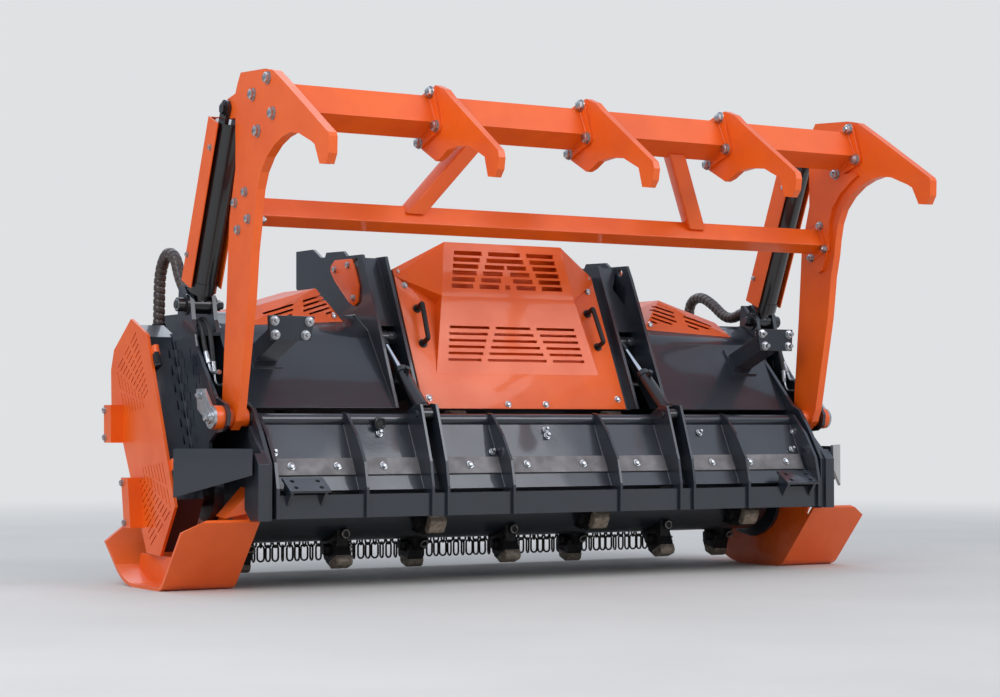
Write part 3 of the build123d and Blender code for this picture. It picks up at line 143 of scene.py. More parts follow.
# two-pack enamel, sprayed on steel plate: a deep even colour under a glossy skin with faint orange peel,
# slight waves of the plate, and a thin film of road dust on the faces that look up. Columns: colour, shade,
# dust, how much dust, roughness, coat
enamels = {
    "orangeEnamel": ("#EF6006", "#E45604", "#C9B8A2", 0.05, 0.38, 0.25),
    "anthraciteEnamel": ("#22282F", "#1B2027", "#8E8B86", 0.08, 0.30, 0.6),
    "blackEnamel": ("#0D0E10", "#08090A", "#6E6A64", 0.06, 0.28, 0.6),
}
# patches are (size in metres, from and to of the noise); the dust lies on faces whose normal's Z is past
# dustFrom; peel and waves are (size, strength, depth). Orange peel is about 3 mm across and drawn at 9 mm, so
# that it shows
spray = {
    "patch": (0.18, 0.35, 0.7), "dustPatch": (0.05, 0.3, 0.6), "dustFrom": 0.55, "roughSpread": 0.12,
    "coatRough": 0.06, "peel": (0.009, 0.06, 0.0006), "waves": (0.22, 0.25, 0.006),
}


def sprayedEnamel(name):
    first, shade, dust, amount, rough, coat = enamels[name]
    material, tree, shader = newMaterial(name, {
        "IOR": 1.5, "Coat Weight": coat, "Coat Roughness": spray["coatRough"], "Coat IOR": 1.5})
    texture = addNode(tree, "ShaderNodeTexCoord")
    coords = texture.outputs["Object"]
    cloud = noiseMask(tree, coords, *spray["patch"])
    facing = addNode(tree, "ShaderNodeSeparateXYZ", None, {"Vector": texture.outputs["Normal"]})
    level = mapRange(
        tree, facing.outputs["Z"], {"From Min": spray["dustFrom"], "From Max": 1.0, "To Max": amount})
    film = addNode(
        tree, "ShaderNodeMath", {"operation": "MULTIPLY"},
        {0: level, 1: noiseMask(tree, coords, *spray["dustPatch"])})
    dusty = mixColours(tree, film.outputs[0], mixColours(tree, cloud, first, shade), dust)
    tree.links.new(dusty, shader.inputs["Base Color"])
    feedRange(tree, shader, "Roughness", cloud, rough, rough + spray["roughSpread"])
    skin = None
    for size, strength, depth in (spray["waves"], spray["peel"]):
        grain = addNode(tree, "ShaderNodeTexNoise", {"Scale": 1 / size, "Detail": 1.0}, {"Vector": coords})
        skin = addBump(tree, grain.outputs["Fac"], strength, depth, skin)
    tree.links.new(skin, shader.inputs["Normal"])
    tree.links.new(skin, shader.inputs["Coat Normal"])
    return material


# bare metals: what each was made by gives its grain. Columns: light, dark and oxide tones, how much oxide,
# how metallic, roughness from and to, size of the patches in metres, depth of the surface in metres
metals = {
    # forged hammer tips: bare, sand coloured with ground-in soil, rubbed bright in patches
    "forgedSteel": ("#A89A88", "#84776A", "#7E6048", 0.30, 0.45, 0.45, 0.68, 0.014, 0.0004),
    # drop-forged holders and bolts of the rotor: dark scale with dull brown patches
    "scaledSteel": ("#2B2A2A", "#1C1B1B", "#3E3129", 0.22, 0.45, 0.40, 0.60, 0.018, 0.0004),
    # crown nuts of the rotor: bright from rubbing wood, dull in the corners
    "wornSteel": ("#A9A7A2", "#7C7974", "#6A5A4C", 0.20, 0.85, 0.30, 0.50, 0.010, 0.0002),
    # wear strip of rolled flat bar, bolted on: even warm grey under a dull mill skin
    "rolledSteel": ("#7E7A78", "#6C6866", "#6E6257", 0.15, 0.25, 0.50, 0.66, 0.050, 0.0002),
    # bolts, pins and keepers: bright zinc with a fine spangle
    "zincPlate": ("#C9CACA", "#A9ABAC", "#B0A994", 0.10, 1.0, 0.26, 0.42, 0.008, 0.00003),
    # chain of drawn rod: blackened, a little rust where the links rub
    "blackChain": ("#55504C", "#35312E", "#6A4630", 0.35, 0.75, 0.35, 0.55, 0.008, 0.0003),
    # turned cast pulleys: even grey
    "castIron": ("#77756F", "#5C5A56", "#6E5040", 0.25, 0.90, 0.42, 0.60, 0.010, 0.0004),
}
# oxide lies in patches three times the grain's, starts lower in the noise the more of it there is, and keeps
# a third of the metal's shine; edges are from and to of the noise
oxidation = {
    "grainEdges": (0.35, 0.65), "grainDetail": 4.0, "patch": 3, "from": 0.72, "perAmount": 0.4, "to": 0.80,
    "detail": 6.0, "shine": 0.35, "bump": 0.5,
}


def bareMetal(name):
    light, dark, oxide, amount, metalness, roughFrom, roughTo, size, depth = metals[name]
    material, tree, shader = newMaterial(name, {})
    coords = objectCoords(tree)
    cloud = noiseMask(tree, coords, size, *oxidation["grainEdges"], oxidation["grainDetail"])
    patch, edge = size * oxidation["patch"], oxidation["from"] - amount * oxidation["perAmount"]
    stain = noiseMask(tree, coords, patch, edge, oxidation["to"], oxidation["detail"])
    stained = mixColours(tree, stain, mixColours(tree, cloud, light, dark), oxide)
    tree.links.new(stained, shader.inputs["Base Color"])
    feedRange(tree, shader, "Metallic", stain, metalness, metalness * oxidation["shine"])
    feedRange(tree, shader, "Roughness", cloud, roughFrom, roughTo)
    tree.links.new(addBump(tree, cloud, oxidation["bump"], depth), shader.inputs["Normal"])
    return material


def hardChrome():
    # ground and chromed piston rods: a mirror, with the slight clouds that wiping leaves
    rod = {"colour": toLinear("#D9DBDE"), "cloud": (0.03, 0.3, 0.7), "rough": (0.06, 0.14)}
    material, tree, shader = newMaterial("hardChrome", {"Base Color": rod["colour"], "Metallic": 1.0})
    coords = objectCoords(tree)
    feedRange(tree, shader, "Roughness", noiseMask(tree, coords, *rod["cloud"]), *rod["rough"])
    return material


# plastics and rubbers. Columns: colour, second colour, roughness, grain and depth in metres, coat
polymers = {
    # polyethylene spiral guard, slightly shiny
    "spiralWrap": ("#4A3A31", "#2A211C", 0.42, 0.020, 0.0002, 0.2),
    # smooth nitrile rubber
    "hoseCover": ("#161514", "#0E0D0D", 0.55, 0.004, 0.0002, 0.0),
    # cloth-backed drive belt, matt
    "beltRubber": ("#1B1A19", "#121111", 0.75, 0.004, 0.0002, 0.0),
    # grained polyamide handles
    "mouldedPlastic": ("#111213", "#0B0C0C", 0.50, 0.003, 0.0001, 0.0),
}
polymerGrain = {"edges": (0.3, 0.7), "bump": 0.3}


def polymer(name):
    first, second, rough, grain, depth, coat = polymers[name]
    material, tree, shader = newMaterial(name, {"Roughness": rough, "IOR": 1.5, "Coat Weight": coat})
    coords = objectCoords(tree)
    cloud = noiseMask(tree, coords, grain, *polymerGrain["edges"])
    tree.links.new(mixColours(tree, cloud, first, second), shader.inputs["Base Color"])
    tree.links.new(addBump(tree, cloud, polymerGrain["bump"], depth), shader.inputs["Normal"])
    return material


def prismLens():
    # moulded acrylic reflector: clear red skin over small prisms
    lens = {"colour": toLinear("#C8140E"), "prism": 0.004, "strength": 0.4, "depth": 0.001}
    material, tree, shader = newMaterial("prismLens", {
        "Base Color": lens["colour"], "Roughness": 0.12, "Coat Weight": 1.0, "Coat Roughness": 0.02})
    coords = objectCoords(tree)
    prisms = addNode(tree, "ShaderNodeTexVoronoi", {"Scale": 1 / lens["prism"]}, {"Vector": coords})
    facets = addBump(tree, prisms.outputs["Distance"], lens["strength"], lens["depth"])
    tree.links.new(facets, shader.inputs["Normal"])
    return material


finishes = {name: sprayedEnamel(name) for name in enamels}
finishes.update({name: bareMetal(name) for name in metals})
finishes.update({name: polymer(name) for name in polymers})
finishes["hardChrome"] = hardChrome()
finishes["prismLens"] = prismLens()
slotNames = dict.fromkeys(metals, "worn_steel")
slotNames.update({
    "orangeEnamel": "orange_paint", "anthraciteEnamel": "grey_paint", "blackEnamel": "black_paint",
    "zincPlate": "zinc_steel", "hardChrome": "chromed_rod", "spiralWrap": "hose_rubber",
    "hoseCover": "hose_rubber", "beltRubber": "belt_rubber", "mouldedPlastic": "black_plastic",
    "prismLens": "black_plastic",
})
print("finishes made:", len(finishes))


def meshObject(name, mesh, material):
    data = bpy.data.meshes.new(name)
    mesh.to_mesh(data)
    mesh.free()
    data.materials.append(material)
    return newObject(name, data)


def finishPiece(name, mesh, finish, body, sharpAngle=38):
    # smooth shading broken at real edges, then the object, its finish and the body it rides on
    for face in mesh.faces:
        face.smooth = True
    for edge in mesh.edges:
        edge.smooth = len(edge.link_faces) == 2 and edge.calc_face_angle(0) < math.radians(sharpAngle)
    piece = meshObject(name, mesh, finishes[finish])
    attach(piece, body)
    return piece


def facingMatrix(place, direction):
    return Matrix.Translation(place) @ Vector(direction).to_track_quat("Z", "Y").to_matrix().to_4x4()


def circlePlaces(count, radius, first=0):
    # angle and both coordinates of places on a circle, the first one so many steps on
    angles = [(index + first) * 2 * math.pi / count for index in range(count)]
    return [(angle, radius * math.cos(angle), radius * math.sin(angle)) for angle in angles]


def circlePoints(center, axis, radius, count):
    # points of a circle round an axis
    turn = facingMatrix(center, axis)
    return [turn @ Vector((across, up, 0)) for angle, across, up in circlePlaces(count, radius)]


def addRod(mesh, start, end, radius, sides, endRadius=None):
    run = end - start
    bmesh.ops.create_cone(
        mesh, cap_ends=True, segments=sides, radius1=radius, depth=run.length,
        radius2=radius if endRadius is None else endRadius, matrix=facingMatrix(start + run / 2, run))


def addSteps(mesh, start, way, steps):
    # turned steps on one axis; each row is (from, to, radius, sides) in millimetres
    way = Vector(way)
    for begin, stop, radius, sides in steps:
        addRod(mesh, start + way * begin / 1000, start + way * stop / 1000, radius / 1000, sides)


# bolt heads in thread sizes. Columns: from, to, radius at its foot, radius at its top, sides
boltParts = {
    "head": ((0.0, 0.18, 1.05, 1.05, 18), (0.18, 0.72, 0.88, 0.88, 6), (0.72, 0.82, 0.88, 0.72, 6)),
    "thread": (0.80, 0.82, 0.5, 0.44, 14),
}


def addBolt(mesh, place, direction, size, tail=0.0):
    # washer, hexagon head with its chamfer and, on a nut, the thread's end; size is the thread in millimetres
    size = size / 1000
    way = Vector(direction).normalized()
    for begin, stop, foot, top, sides in boltParts["head"]:
        addRod(mesh, place + way * size * begin, place + way * size * stop, size * foot, sides, size * top)
    if tail:
        begin, stop, foot, top, sides = boltParts["thread"]
        end = place + way * (size * stop + tail)
        addRod(mesh, place + way * size * begin, end, size * foot, sides, size * top)


def roundEdges(mesh, vertices, width):
    edges = list({edge for vertex in vertices for edge in vertex.link_edges})
    bmesh.ops.bevel(mesh, geom=edges, offset=width, segments=2, affect="EDGES", profile=0.5, material=-1)


def addBlock(mesh, center, dimensions, turn, bevel):
    # block with its edges rounded; turn is a 3 by 3 rotation
    matrix = Matrix.Translation(center) @ turn.to_4x4() @ Matrix.Diagonal((*dimensions, 1))
    roundEdges(mesh, bmesh.ops.create_cube(mesh, size=1, matrix=matrix)["verts"], bevel)


def addPlate(mesh, outline, xFrom, xTo, bevel, matrix=drawing):
    # flat plate: (y, z) outline in millimetres, carried along X; the matrix turns millimetres into a place
    corners = [mesh.verts.new(matrix @ Vector((xFrom, y, z))) for y, z in outline]
    made = bmesh.ops.extrude_face_region(mesh, geom=[mesh.faces.new(corners)])
    moved = [item for item in made["geom"] if isinstance(item, bmesh.types.BMVert)]
    bmesh.ops.translate(mesh, verts=moved, vec=Vector(((xTo - xFrom) / 1000, 0, 0)))
    bmesh.ops.recalc_face_normals(mesh, faces=list(mesh.faces))
    roundEdges(mesh, corners + moved, bevel)


# length of a route's normal under which it is straight, and distance at which corners are one
tubeLimits = {"straight": 1e-12, "merge": 1e-6}


def addTube(mesh, points, radius, segments, closed=False, ripple=None):
    # tube round a run of points that lies in one plane: a grid rolled up, so that operators make its faces
    count = len(points)
    normal = Vector((0, 0, 0))
    for a, b, c in zip(points, points[1:], points[2:]):
        turn = (b - a).cross(c - b)
        normal += turn * (1 if turn.dot(normal) >= 0 else -1)
    if normal.length < tubeLimits["straight"]:
        normal = (points[-1] - points[0]).orthogonal()
    normal.normalize()
    before = set(mesh.verts)
    steps = count if closed else count - 1
    bmesh.ops.create_grid(mesh, x_segments=steps, y_segments=segments, size=0.5)
    made = [vertex for vertex in mesh.verts if vertex not in before]
    for vertex in made:
        index = round((vertex.co.x + 0.5) * steps)
        angle = (vertex.co.y + 0.5) * 2 * math.pi
        if closed:
            here, ahead = points[index % count], points[(index + 1) % count]
            back = points[index - 1 - (index == count)]
        else:
            here, ahead, back = points[index], points[min(index + 1, count - 1)], points[max(index - 1, 0)]
        tangent = (ahead - back).normalized()
        across = tangent.cross(normal).normalized()
        reach = radius + (ripple(index, angle) if ripple else 0.0)
        vertex.co = here + normal * math.cos(angle) * reach + across * math.sin(angle) * reach
    bmesh.ops.remove_doubles(mesh, verts=made, dist=tubeLimits["merge"])
    if not closed:
        loose = [edge for edge in mesh.edges if edge.is_boundary]
        bmesh.ops.holes_fill(mesh, edges=loose, sides=segments)
    bmesh.ops.recalc_face_normals(mesh, faces=list(mesh.faces))


def smoothRoute(points, resolution):
    # points read from one NURBS spline through the route's control points
    curve = bpy.data.curves.new("route", "CURVE")
    curve.dimensions = "3D"
    spline = curve.splines.new("NURBS")
    spline.points.add(len(points) - 1)
    for target, point in zip(spline.points, points):
        target.co = (*point, 1.0)
    spline.order_u = 3
    spline.use_endpoint_u = True
    spline.resolution_u = resolution
    holder = newObject("route", curve)
    bpy.context.view_layer.update()
    read = bpy.data.meshes.new_from_object(holder.evaluated_get(bpy.context.evaluated_depsgraph_get()))
    result = [vertex.co.copy() for vertex in read.vertices]
    bpy.data.objects.remove(holder)
    bpy.data.meshes.remove(read)
    bpy.data.curves.remove(curve)
    return result


def evenly(points, step):
    # the same route with points a fixed step apart
    result = [points[0]]
    left = step
    for start, end in zip(points, points[1:]):
        run = (end - start).length
        while run >= left:
            start = start + (end - start) * (left / run)
            result.append(start)
            run = (end - start).length
            left = step
        left -= run
    return result


# weld beads in metres: radii, and the coin marks of their passes, which stand out by lift, one in two steps
weldBead = {"thin": 0.0022, "plain": 0.0035, "thick": 0.0045, "step": 0.0025, "lift": 0.0006, "sides": 6}


def addWeld(mesh, points, radius):
    # fillet weld along a run of points
    path = evenly(points, weldBead["step"])
    addTube(mesh, path, radius, weldBead["sides"], ripple=lambda index, angle: weldBead["lift"] * (index % 2))


def squareLoop(center, size, tilt, x):
    # corners round a square tube that is turned by tilt degrees, back to the first one
    turn = math.radians(tilt)
    corners = []
    for across, up in ((-1, -1), (1, -1), (1, 1), (-1, 1), (-1, -1)):
        a, b = across * size / 2, up * size / 2
        y = center[0] + a * math.cos(turn) + b * math.sin(turn)
        corners.append(spot(x, y, center[1] - a * math.sin(turn) + b * math.cos(turn)))
    return corners


# hydraulic hoses: a bundle in a brown spiral guard, from the bracket's back over to the top of the case.
# Points and x are in millimetres, the rest in metres
hose = {
    "left": (
        (512, 1000), (558, 1000), (622, 1062), (660, 1138), (738, 1158), (800, 1090), (808, 985), (808, 862)),
    "right": (
        (512, 1000), (566, 1000), (620, 978), (686, 984), (772, 1044), (852, 1078), (922, 1058), (936, 985),
        (936, 862)),
    "x": 1205, "radius": 0.0205, "step": 0.003, "sides": 24, "resolution": 24,
    # pitch of the guard's turns, the part of it that the band covers, its lift and the groove's depth
    "wrapPitch": 0.024, "wrapPart": 0.74, "wrapLift": 0.0008, "grooveDepth": 0.0022,
}


def hoseRipple(index, angle):
    turn = (index * hose["step"] / hose["wrapPitch"] + angle / (2 * math.pi)) % 1
    return hose["wrapLift"] if turn < hose["wrapPart"] else -hose["grooveDepth"]


for side, sign in sides:
    route = [spot(sign * hose["x"], y, z) for y, z in hose[side]]
    path = evenly(smoothRoute(route, hose["resolution"]), hose["step"])
    hoseMesh = bmesh.new()
    addTube(hoseMesh, path, hose["radius"], hose["sides"], ripple=hoseRipple)
    hosePiece = finishPiece(f"wrappedHose_{side}", hoseMesh, "spiralWrap", "body", sharpAngle=60)
    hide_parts(f"hose_{side}")


def bothSides(*names):
    return tuple(f"{name}_{side}" for name in names for side, sign in sides)


# finish of every CAD node that stays
nodeFinishes = {
    "orangeEnamel": bothSides("arm", "drive_grille", "side_cover", "skid", "push_guard") + (
        "top_beam", "lower_beam", "frame_braces", "claws", "center_cover"),
    "anthraciteEnamel": bothSides("side_plate", "hood", "mast", "drive_case") + (
        "gearbox", "rear_frame", "door_tube", "door_panel", "door_ribs", "door_beam", "rotor_drum"),
    "blackEnamel": bothSides("push_barrel", "door_barrel"),
    "hardChrome": bothSides("push_rod", "door_rod"),
    "scaledSteel": ("rotor_tools",),
    "rolledSteel": ("door_wear_strip",),
    "zincPlate": bothSides("pivot_pin"),
    "castIron": ("drive_pulleys",),
    "beltRubber": ("drive_belts",),
}
for finish, names in nodeFinishes.items():
    for name in names:
        node = cadNodes[name]
        node.data.materials.clear()
        node.data.materials.append(finishes[finish])

# edges of the CAD nodes that show: rounded as cut and folded steel is, in metres
edgeRounding = {
    0.004: ("top_beam", "lower_beam", "door_beam"),
    0.002: bothSides("arm", "skid", "side_plate") + ("claws", "door_ribs", "rotor_tools"),
    0.0012: bothSides(
        "hood", "mast", "drive_case", "side_cover", "push_guard", "pivot_pin", "drive_grille") + (
        "door_wear_strip", "center_cover"),
}
# distance at which corners are one, angle up to which faces are one, and from which an edge is rounded
edgeLimits = {"merge": 0.00001, "flat": math.radians(0.5), "sharp": math.radians(40)}
for width, names in edgeRounding.items():
    for name in names:
        node = cadNodes[name]
        weld = node.modifiers.new("weld", "WELD")
        weld.merge_threshold = edgeLimits["merge"]
        flatten = node.modifiers.new("flatten", "DECIMATE")
        flatten.decimate_type = "DISSOLVE"
        flatten.angle_limit = edgeLimits["flat"]
        bevel = node.modifiers.new("bevel", "BEVEL")
        bevel.width = width
        bevel.segments = 2
        bevel.limit_method = "ANGLE"
        bevel.angle_limit = edgeLimits["sharp"]
        bevel.harden_normals = True
print("edges rounded")

# braces of the push frame: square tubes whose ends are mitred to the beams' skins
brace = {
    # (x, y, z) where the brace's middle line meets those of the beams, and half the beams' sizes
    "low": (590, 69, 1247), "lowHalf": 35, "high": (410, -92, 1578), "highHalf": 52.5,
    "tilt": 26, "size": 60, "rounding": 0.006, "parallel": 0.99,
}
skinTurn = math.radians(brace["tilt"])
skinUp = Vector((0, -math.sin(skinTurn), math.cos(skinTurn)))
braceMesh = bmesh.new()
for sign in signs:
    lowEnd = spot(sign * brace["low"][0], *brace["low"][1:]) + skinUp * brace["lowHalf"] / 1000
    highEnd = spot(sign * brace["high"][0], *brace["high"][1:]) - skinUp * brace["highHalf"] / 1000
    run = (highEnd - lowEnd).normalized()
    across = (Vector((1, 0, 0)) - run * run.x).normalized()
    other = run.cross(across)
    made = bmesh.ops.create_cube(braceMesh, size=1)["verts"]
    for vertex in made:
        offset = (across * vertex.co.x + other * vertex.co.y) * brace["size"] / 1000
        skin = highEnd if vertex.co.z > 0 else lowEnd
        start = lowEnd + offset
        vertex.co = start + run * ((skin - start).dot(skinUp) / run.dot(skinUp))
    longEdges = [edge for edge in {edge for vertex in made for edge in vertex.link_edges}
                 if abs((edge.verts[0].co - edge.verts[1].co).normalized().dot(run)) > brace["parallel"]]
    bmesh.ops.bevel(
        braceMesh, geom=longEdges, offset=brace["rounding"], segments=3, affect="EDGES", profile=0.5,
        material=-1)
bmesh.ops.recalc_face_normals(braceMesh, faces=list(braceMesh.faces))
bracePiece = finishPiece("mitredBraces", braceMesh, "orangeEnamel", "push_frame")
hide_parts("frame_braces")

# chain curtain: round-bar links, with a second chain between every two of the frame's, turned a quarter
# against them as such a curtain hangs; every link is twisted a little differently. Sizes in millimetres
chain = {
    "count": 71, "pitch": 30, "links": 5, "length": 68, "width": 34, "bar": 8, "slack": 0.3, "sides": 6,
    "railY": 992, "railZ": 292, "bendCorners": 6,
    # twist in degrees, and how far its wave moves on by the chain and by the link
    "twist": 16, "chainPhase": 1.9, "linkPhase": 0.8,
}
chainMesh = bmesh.new()
linkHalf = chain["width"] / 2 - chain["bar"] / 2
linkStraight = chain["length"] / 2 - chain["bar"] / 2 - linkHalf
linkOutline = []
for first, lift in ((0, linkStraight), (math.pi, -linkStraight)):
    for corner in range(chain["bendCorners"]):
        angle = first + math.pi * corner / (chain["bendCorners"] - 1)
        linkOutline.append((linkHalf * math.cos(angle), linkHalf * math.sin(angle) + lift))
for column in range(chain["count"]):
    x = (column - (chain["count"] - 1) / 2) * chain["pitch"]
    for index in range(chain["links"]):
        z = chain["railZ"] + 2 * chain["bar"] + chain["slack"] - chain["length"] / 2
        z -= index * (chain["length"] - 2 * chain["bar"] - chain["slack"])
        wave = chain["chainPhase"] * column + chain["linkPhase"] * index
        turn = math.radians(chain["twist"] * math.sin(wave))
        if (index + column) % 2 == 0:
            turn += math.pi / 2
        points = [
            spot(x + a * math.cos(turn), chain["railY"] + a * math.sin(turn), z + b) for a, b in linkOutline]
        addTube(chainMesh, points, chain["bar"] / 2 / 1000, chain["sides"], closed=True)
chainPiece = finishPiece("curtainChains", chainMesh, "blackChain", "body", sharpAngle=60)
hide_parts("chain_curtain")
print("chains made")

# grips of the centre cover: round bar handles with feet. Stand and radius are in metres; neck and corner are
# parts of the stand and of the grip's length
grips = {
    # (x, z) of the feet, and the cover's slope as its lowest (y, z) and its run
    "feet": ((367, 965), (375, 838)), "slopeFrom": (262, 606), "slopeRun": (238, 506),
    "foot": ((0, 5, 16, 20),), "stand": 0.045, "neck": 0.75, "corner": 0.12, "radius": 0.009, "sides": 16,
    "resolution": 6,
}
coverOut = Vector((0, -0.905, 0.4256))
gripMesh = bmesh.new()
for sign in signs:
    feet = []
    for x, z in grips["feet"]:
        rise = (z - grips["slopeFrom"][1]) / grips["slopeRun"][1]
        feet.append(spot(sign * x, grips["slopeFrom"][0] + rise * grips["slopeRun"][0], z))
        addSteps(gripMesh, feet[-1], coverOut, grips["foot"])
    reach = coverOut * grips["stand"]
    corner = (feet[1] - feet[0]) * grips["corner"]
    route = [
        feet[0], feet[0] + reach * grips["neck"], feet[0] + reach, feet[0] + reach + corner,
        feet[1] + reach - corner, feet[1] + reach, feet[1] + reach * grips["neck"], feet[1]]
    addTube(gripMesh, smoothRoute(route, grips["resolution"]), grips["radius"], grips["sides"])
gripPiece = finishPiece("coverGrips", gripMesh, "mouldedPlastic", "body", sharpAngle=50)
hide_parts("cover_handles")
print("grips made")

# bolts. Each row is (x, y, z, direction, thread, length of thread past the nut). Every row stands on both
# sides of the machine, and a direction's first number is outward from the middle
grilleOut = (-0.064, -0.974, 0.216)
outward = (1, 0, 0)
inward = (-1, 0, 0)
forward = (0, -1, 0)
rearward = (0, 1, 0)
upward = (0, 0, 1)
endPlateHoles = ((952, 893), (1080, 893), (1077, 847), (966, 847))
topHoles = ((-130, 1658), (-17, 1619), (-167, 1540), (-53, 1496))
lowHoles = ((42, 1307), (121, 1278), (18, 1217), (96, 1187))
# heads on the arms' outer faces and nuts on the inner ones. Columns: |x|, direction, thread, tail, holes
armBolts = (
    (1220, outward, 20, 0, topHoles), (1178, inward, 20, 0.008, topHoles),
    (1220, outward, 16, 0, lowHoles), (1178, inward, 16, 0.006, lowHoles))
bolts = {
    "frameBolts": ("push_frame", [
        (face, y, z, way, size, tail) for face, way, size, tail, holes in armBolts for y, z in holes]),
    "coverBolts": ("body", [
        (x, y, z, way, 12, 0) for way, places in (
            (coverOut, ((80, 269, 621), (402, 279, 642), (395, 472, 1052), (408, 494, 1100))),
            (grilleOut, ((683, 470, 933), (861, 470, 913), (1032, 455, 905))),
            (outward, ((586, 545, 1122), (586, 650, 1112), (586, 500, 1002))))
        for x, y, z in places]),
    "stubBolts": ("body", [
        (x, y, z, way, 16, tail) for x, z in endPlateHoles
        for y, way, tail in ((115, forward, 0.012), (130, rearward, 0))]),
    "keeperBolts": ("body", [
        (1292, 240, 645, outward, 14, 0.004), (1302, 157, 572, outward, 15, 0)]),
    "skidBolts": ("body", [
        (1167, y, z, outward, 20, 0)
        for y, z in ((262, 215), (330, 60), (560, 80), (640, 215), (730, 180))]),
    "rearBolts": ("body", [
        (x, 968, z, rearward, 16, 0) for x in (190, 620, 1090) for z in (370, 660, 900)] + [
        (x, 968, 370, rearward, 12, 0) for x in (330, 900)]),
}
for name, (body, rows) in bolts.items():
    boltMesh = bmesh.new()
    for sign in signs:
        for x, y, z, way, size, tail in rows:
            addBolt(boltMesh, spot(sign * x, y, z), (sign * way[0], way[1], way[2]), size, tail)
    finishPiece(name, boltMesh, "zincPlate", body)

# the claws' bolts: heads on the flange's side, nuts on the other
claws = {"places": (-600, 0, 600), "head": -24.5, "nut": 12.5, "size": 20, "tail": 0.008}
clawMesh = bmesh.new()
for place in claws["places"]:
    for y, z in topHoles:
        addBolt(clawMesh, spot(place + claws["head"], y, z), inward, claws["size"])
        addBolt(clawMesh, spot(place + claws["nut"], y, z), outward, claws["size"], claws["tail"])
finishPiece("clawBolts", clawMesh, "zincPlate", "push_frame")

# bolts that ride with moving bodies, one piece to each side: (y, z) of the places, |x| and way of the faces
sideBolts = {
    # lock boxes and hinges of the side covers
    "lockBolts": {
        "body": "side_cover", "faces": ((1402, 1),), "size": 12,
        "places": ((812, 503), (815, 598), (622, 212), (648, 348))},
    # screws through the side walls of the cylinder guards
    "guardScrews": {
        "body": "push_barrel", "faces": ((1263, 1), (1147, -1)), "size": 10,
        "places": ((228, 1470), (418, 1126))},
}
for name, group in sideBolts.items():
    for side, sign in sides:
        boltMesh = bmesh.new()
        for y, z in group["places"]:
            for face, way in group["faces"]:
                addBolt(boltMesh, spot(sign * face, y, z), (sign * way, 0, 0), group["size"])
        finishPiece(f"{name}_{side}", boltMesh, "zincPlate", f"{group['body']}_{side}")
print("bolts made")

# door: bolts of the wear strip and the panel, and the grease gun's socket on the hinge tube, which is a short
# sleeve with a hollow end. Places and steps are in millimetres, the rim is in metres
door = {
    "stripBolts": (1035, 863, 689, 350, 118), "stripPlace": (77.6, 409.5), "stripSize": 13,
    "panelBolts": ((1117, 140, 520), (1084, 106, 454), (674, 139, 518), (246, 105, 453)),
    "middleBolts": ((0, 144, 528), (0, 134, 507)), "panelSize": 12, "tail": 0.010,
    "panelOut": (0, -0.888, 0.460),
    "socket": (-674, 174, 564), "socketOut": Vector((0, -0.96, -0.28)),
    "socketSteps": ((15, 40, 16, 28), (40, 44, 13, 28)),
    "rimAt": 0.044, "rimRadius": 0.0185, "rimBar": 0.0042, "rimCorners": 28, "rimSides": 10,
}
stripMesh = bmesh.new()
for sign in signs:
    for x in door["stripBolts"]:
        addBolt(stripMesh, spot(sign * x, *door["stripPlace"]), door["panelOut"], door["stripSize"])
    for x, y, z in door["panelBolts"]:
        addBolt(stripMesh, spot(sign * x, y, z), door["panelOut"], door["panelSize"], door["tail"])
for place in door["middleBolts"]:
    addBolt(stripMesh, spot(*place), door["panelOut"], door["panelSize"], door["tail"])
finishPiece("stripBolts", stripMesh, "zincPlate", "door")
socketMesh = bmesh.new()
socket = spot(*door["socket"])
addSteps(socketMesh, socket, door["socketOut"], door["socketSteps"])
rimCenter = socket + door["socketOut"] * door["rimAt"]
rim = circlePoints(rimCenter, door["socketOut"], door["rimRadius"], door["rimCorners"])
addTube(socketMesh, rim, door["rimBar"], door["rimSides"], closed=True)
finishPiece("tubeRing", socketMesh, "blackEnamel", "door")

# rotor: a bolt through every holder with its crown nut on the right, a clamping screw on the holder's front
# face, and the bare tip of every hammer. Places are from the rotor's axis, before the holder is turned, in
# metres; the pitch, the axis, the steps and the tip are in millimetres
rotor = {
    "count": 28, "pitch": 76, "firstAngle": 200, "step": 80, "axis": (440, 315),
    "boltAt": (0, 0, 0.214), "half": 0.031, "boltSize": 24, "nut": ((0, 4, 26, 20), (4, 20, 21, 6)),
    "teeth": 6, "toothAt": 0.0235, "toothRadius": 0.0135, "tooth": (0.007, 0.008, 0.008), "toothEdge": 0.0008,
    "screwAt": (0.008, 0.0645, 0.178), "screwOut": (0, 0.963, 0.270), "screw": ((-3, 10, 16.5, 28),),
    "screwTop": 0.010, "ringRadius": 0.0135, "ringBar": 0.0032, "ringCorners": 24, "ringSides": 8,
    "tip": ((-10, 256), (51, 250), (51.5, 272.5), (41, 283.8), (-1, 283.8), (-12, 272)), "tipHalf": 31.8,
    "tipEdge": 0.002,
}
boltMesh = bmesh.new()
nutMesh = bmesh.new()
tipMesh = bmesh.new()
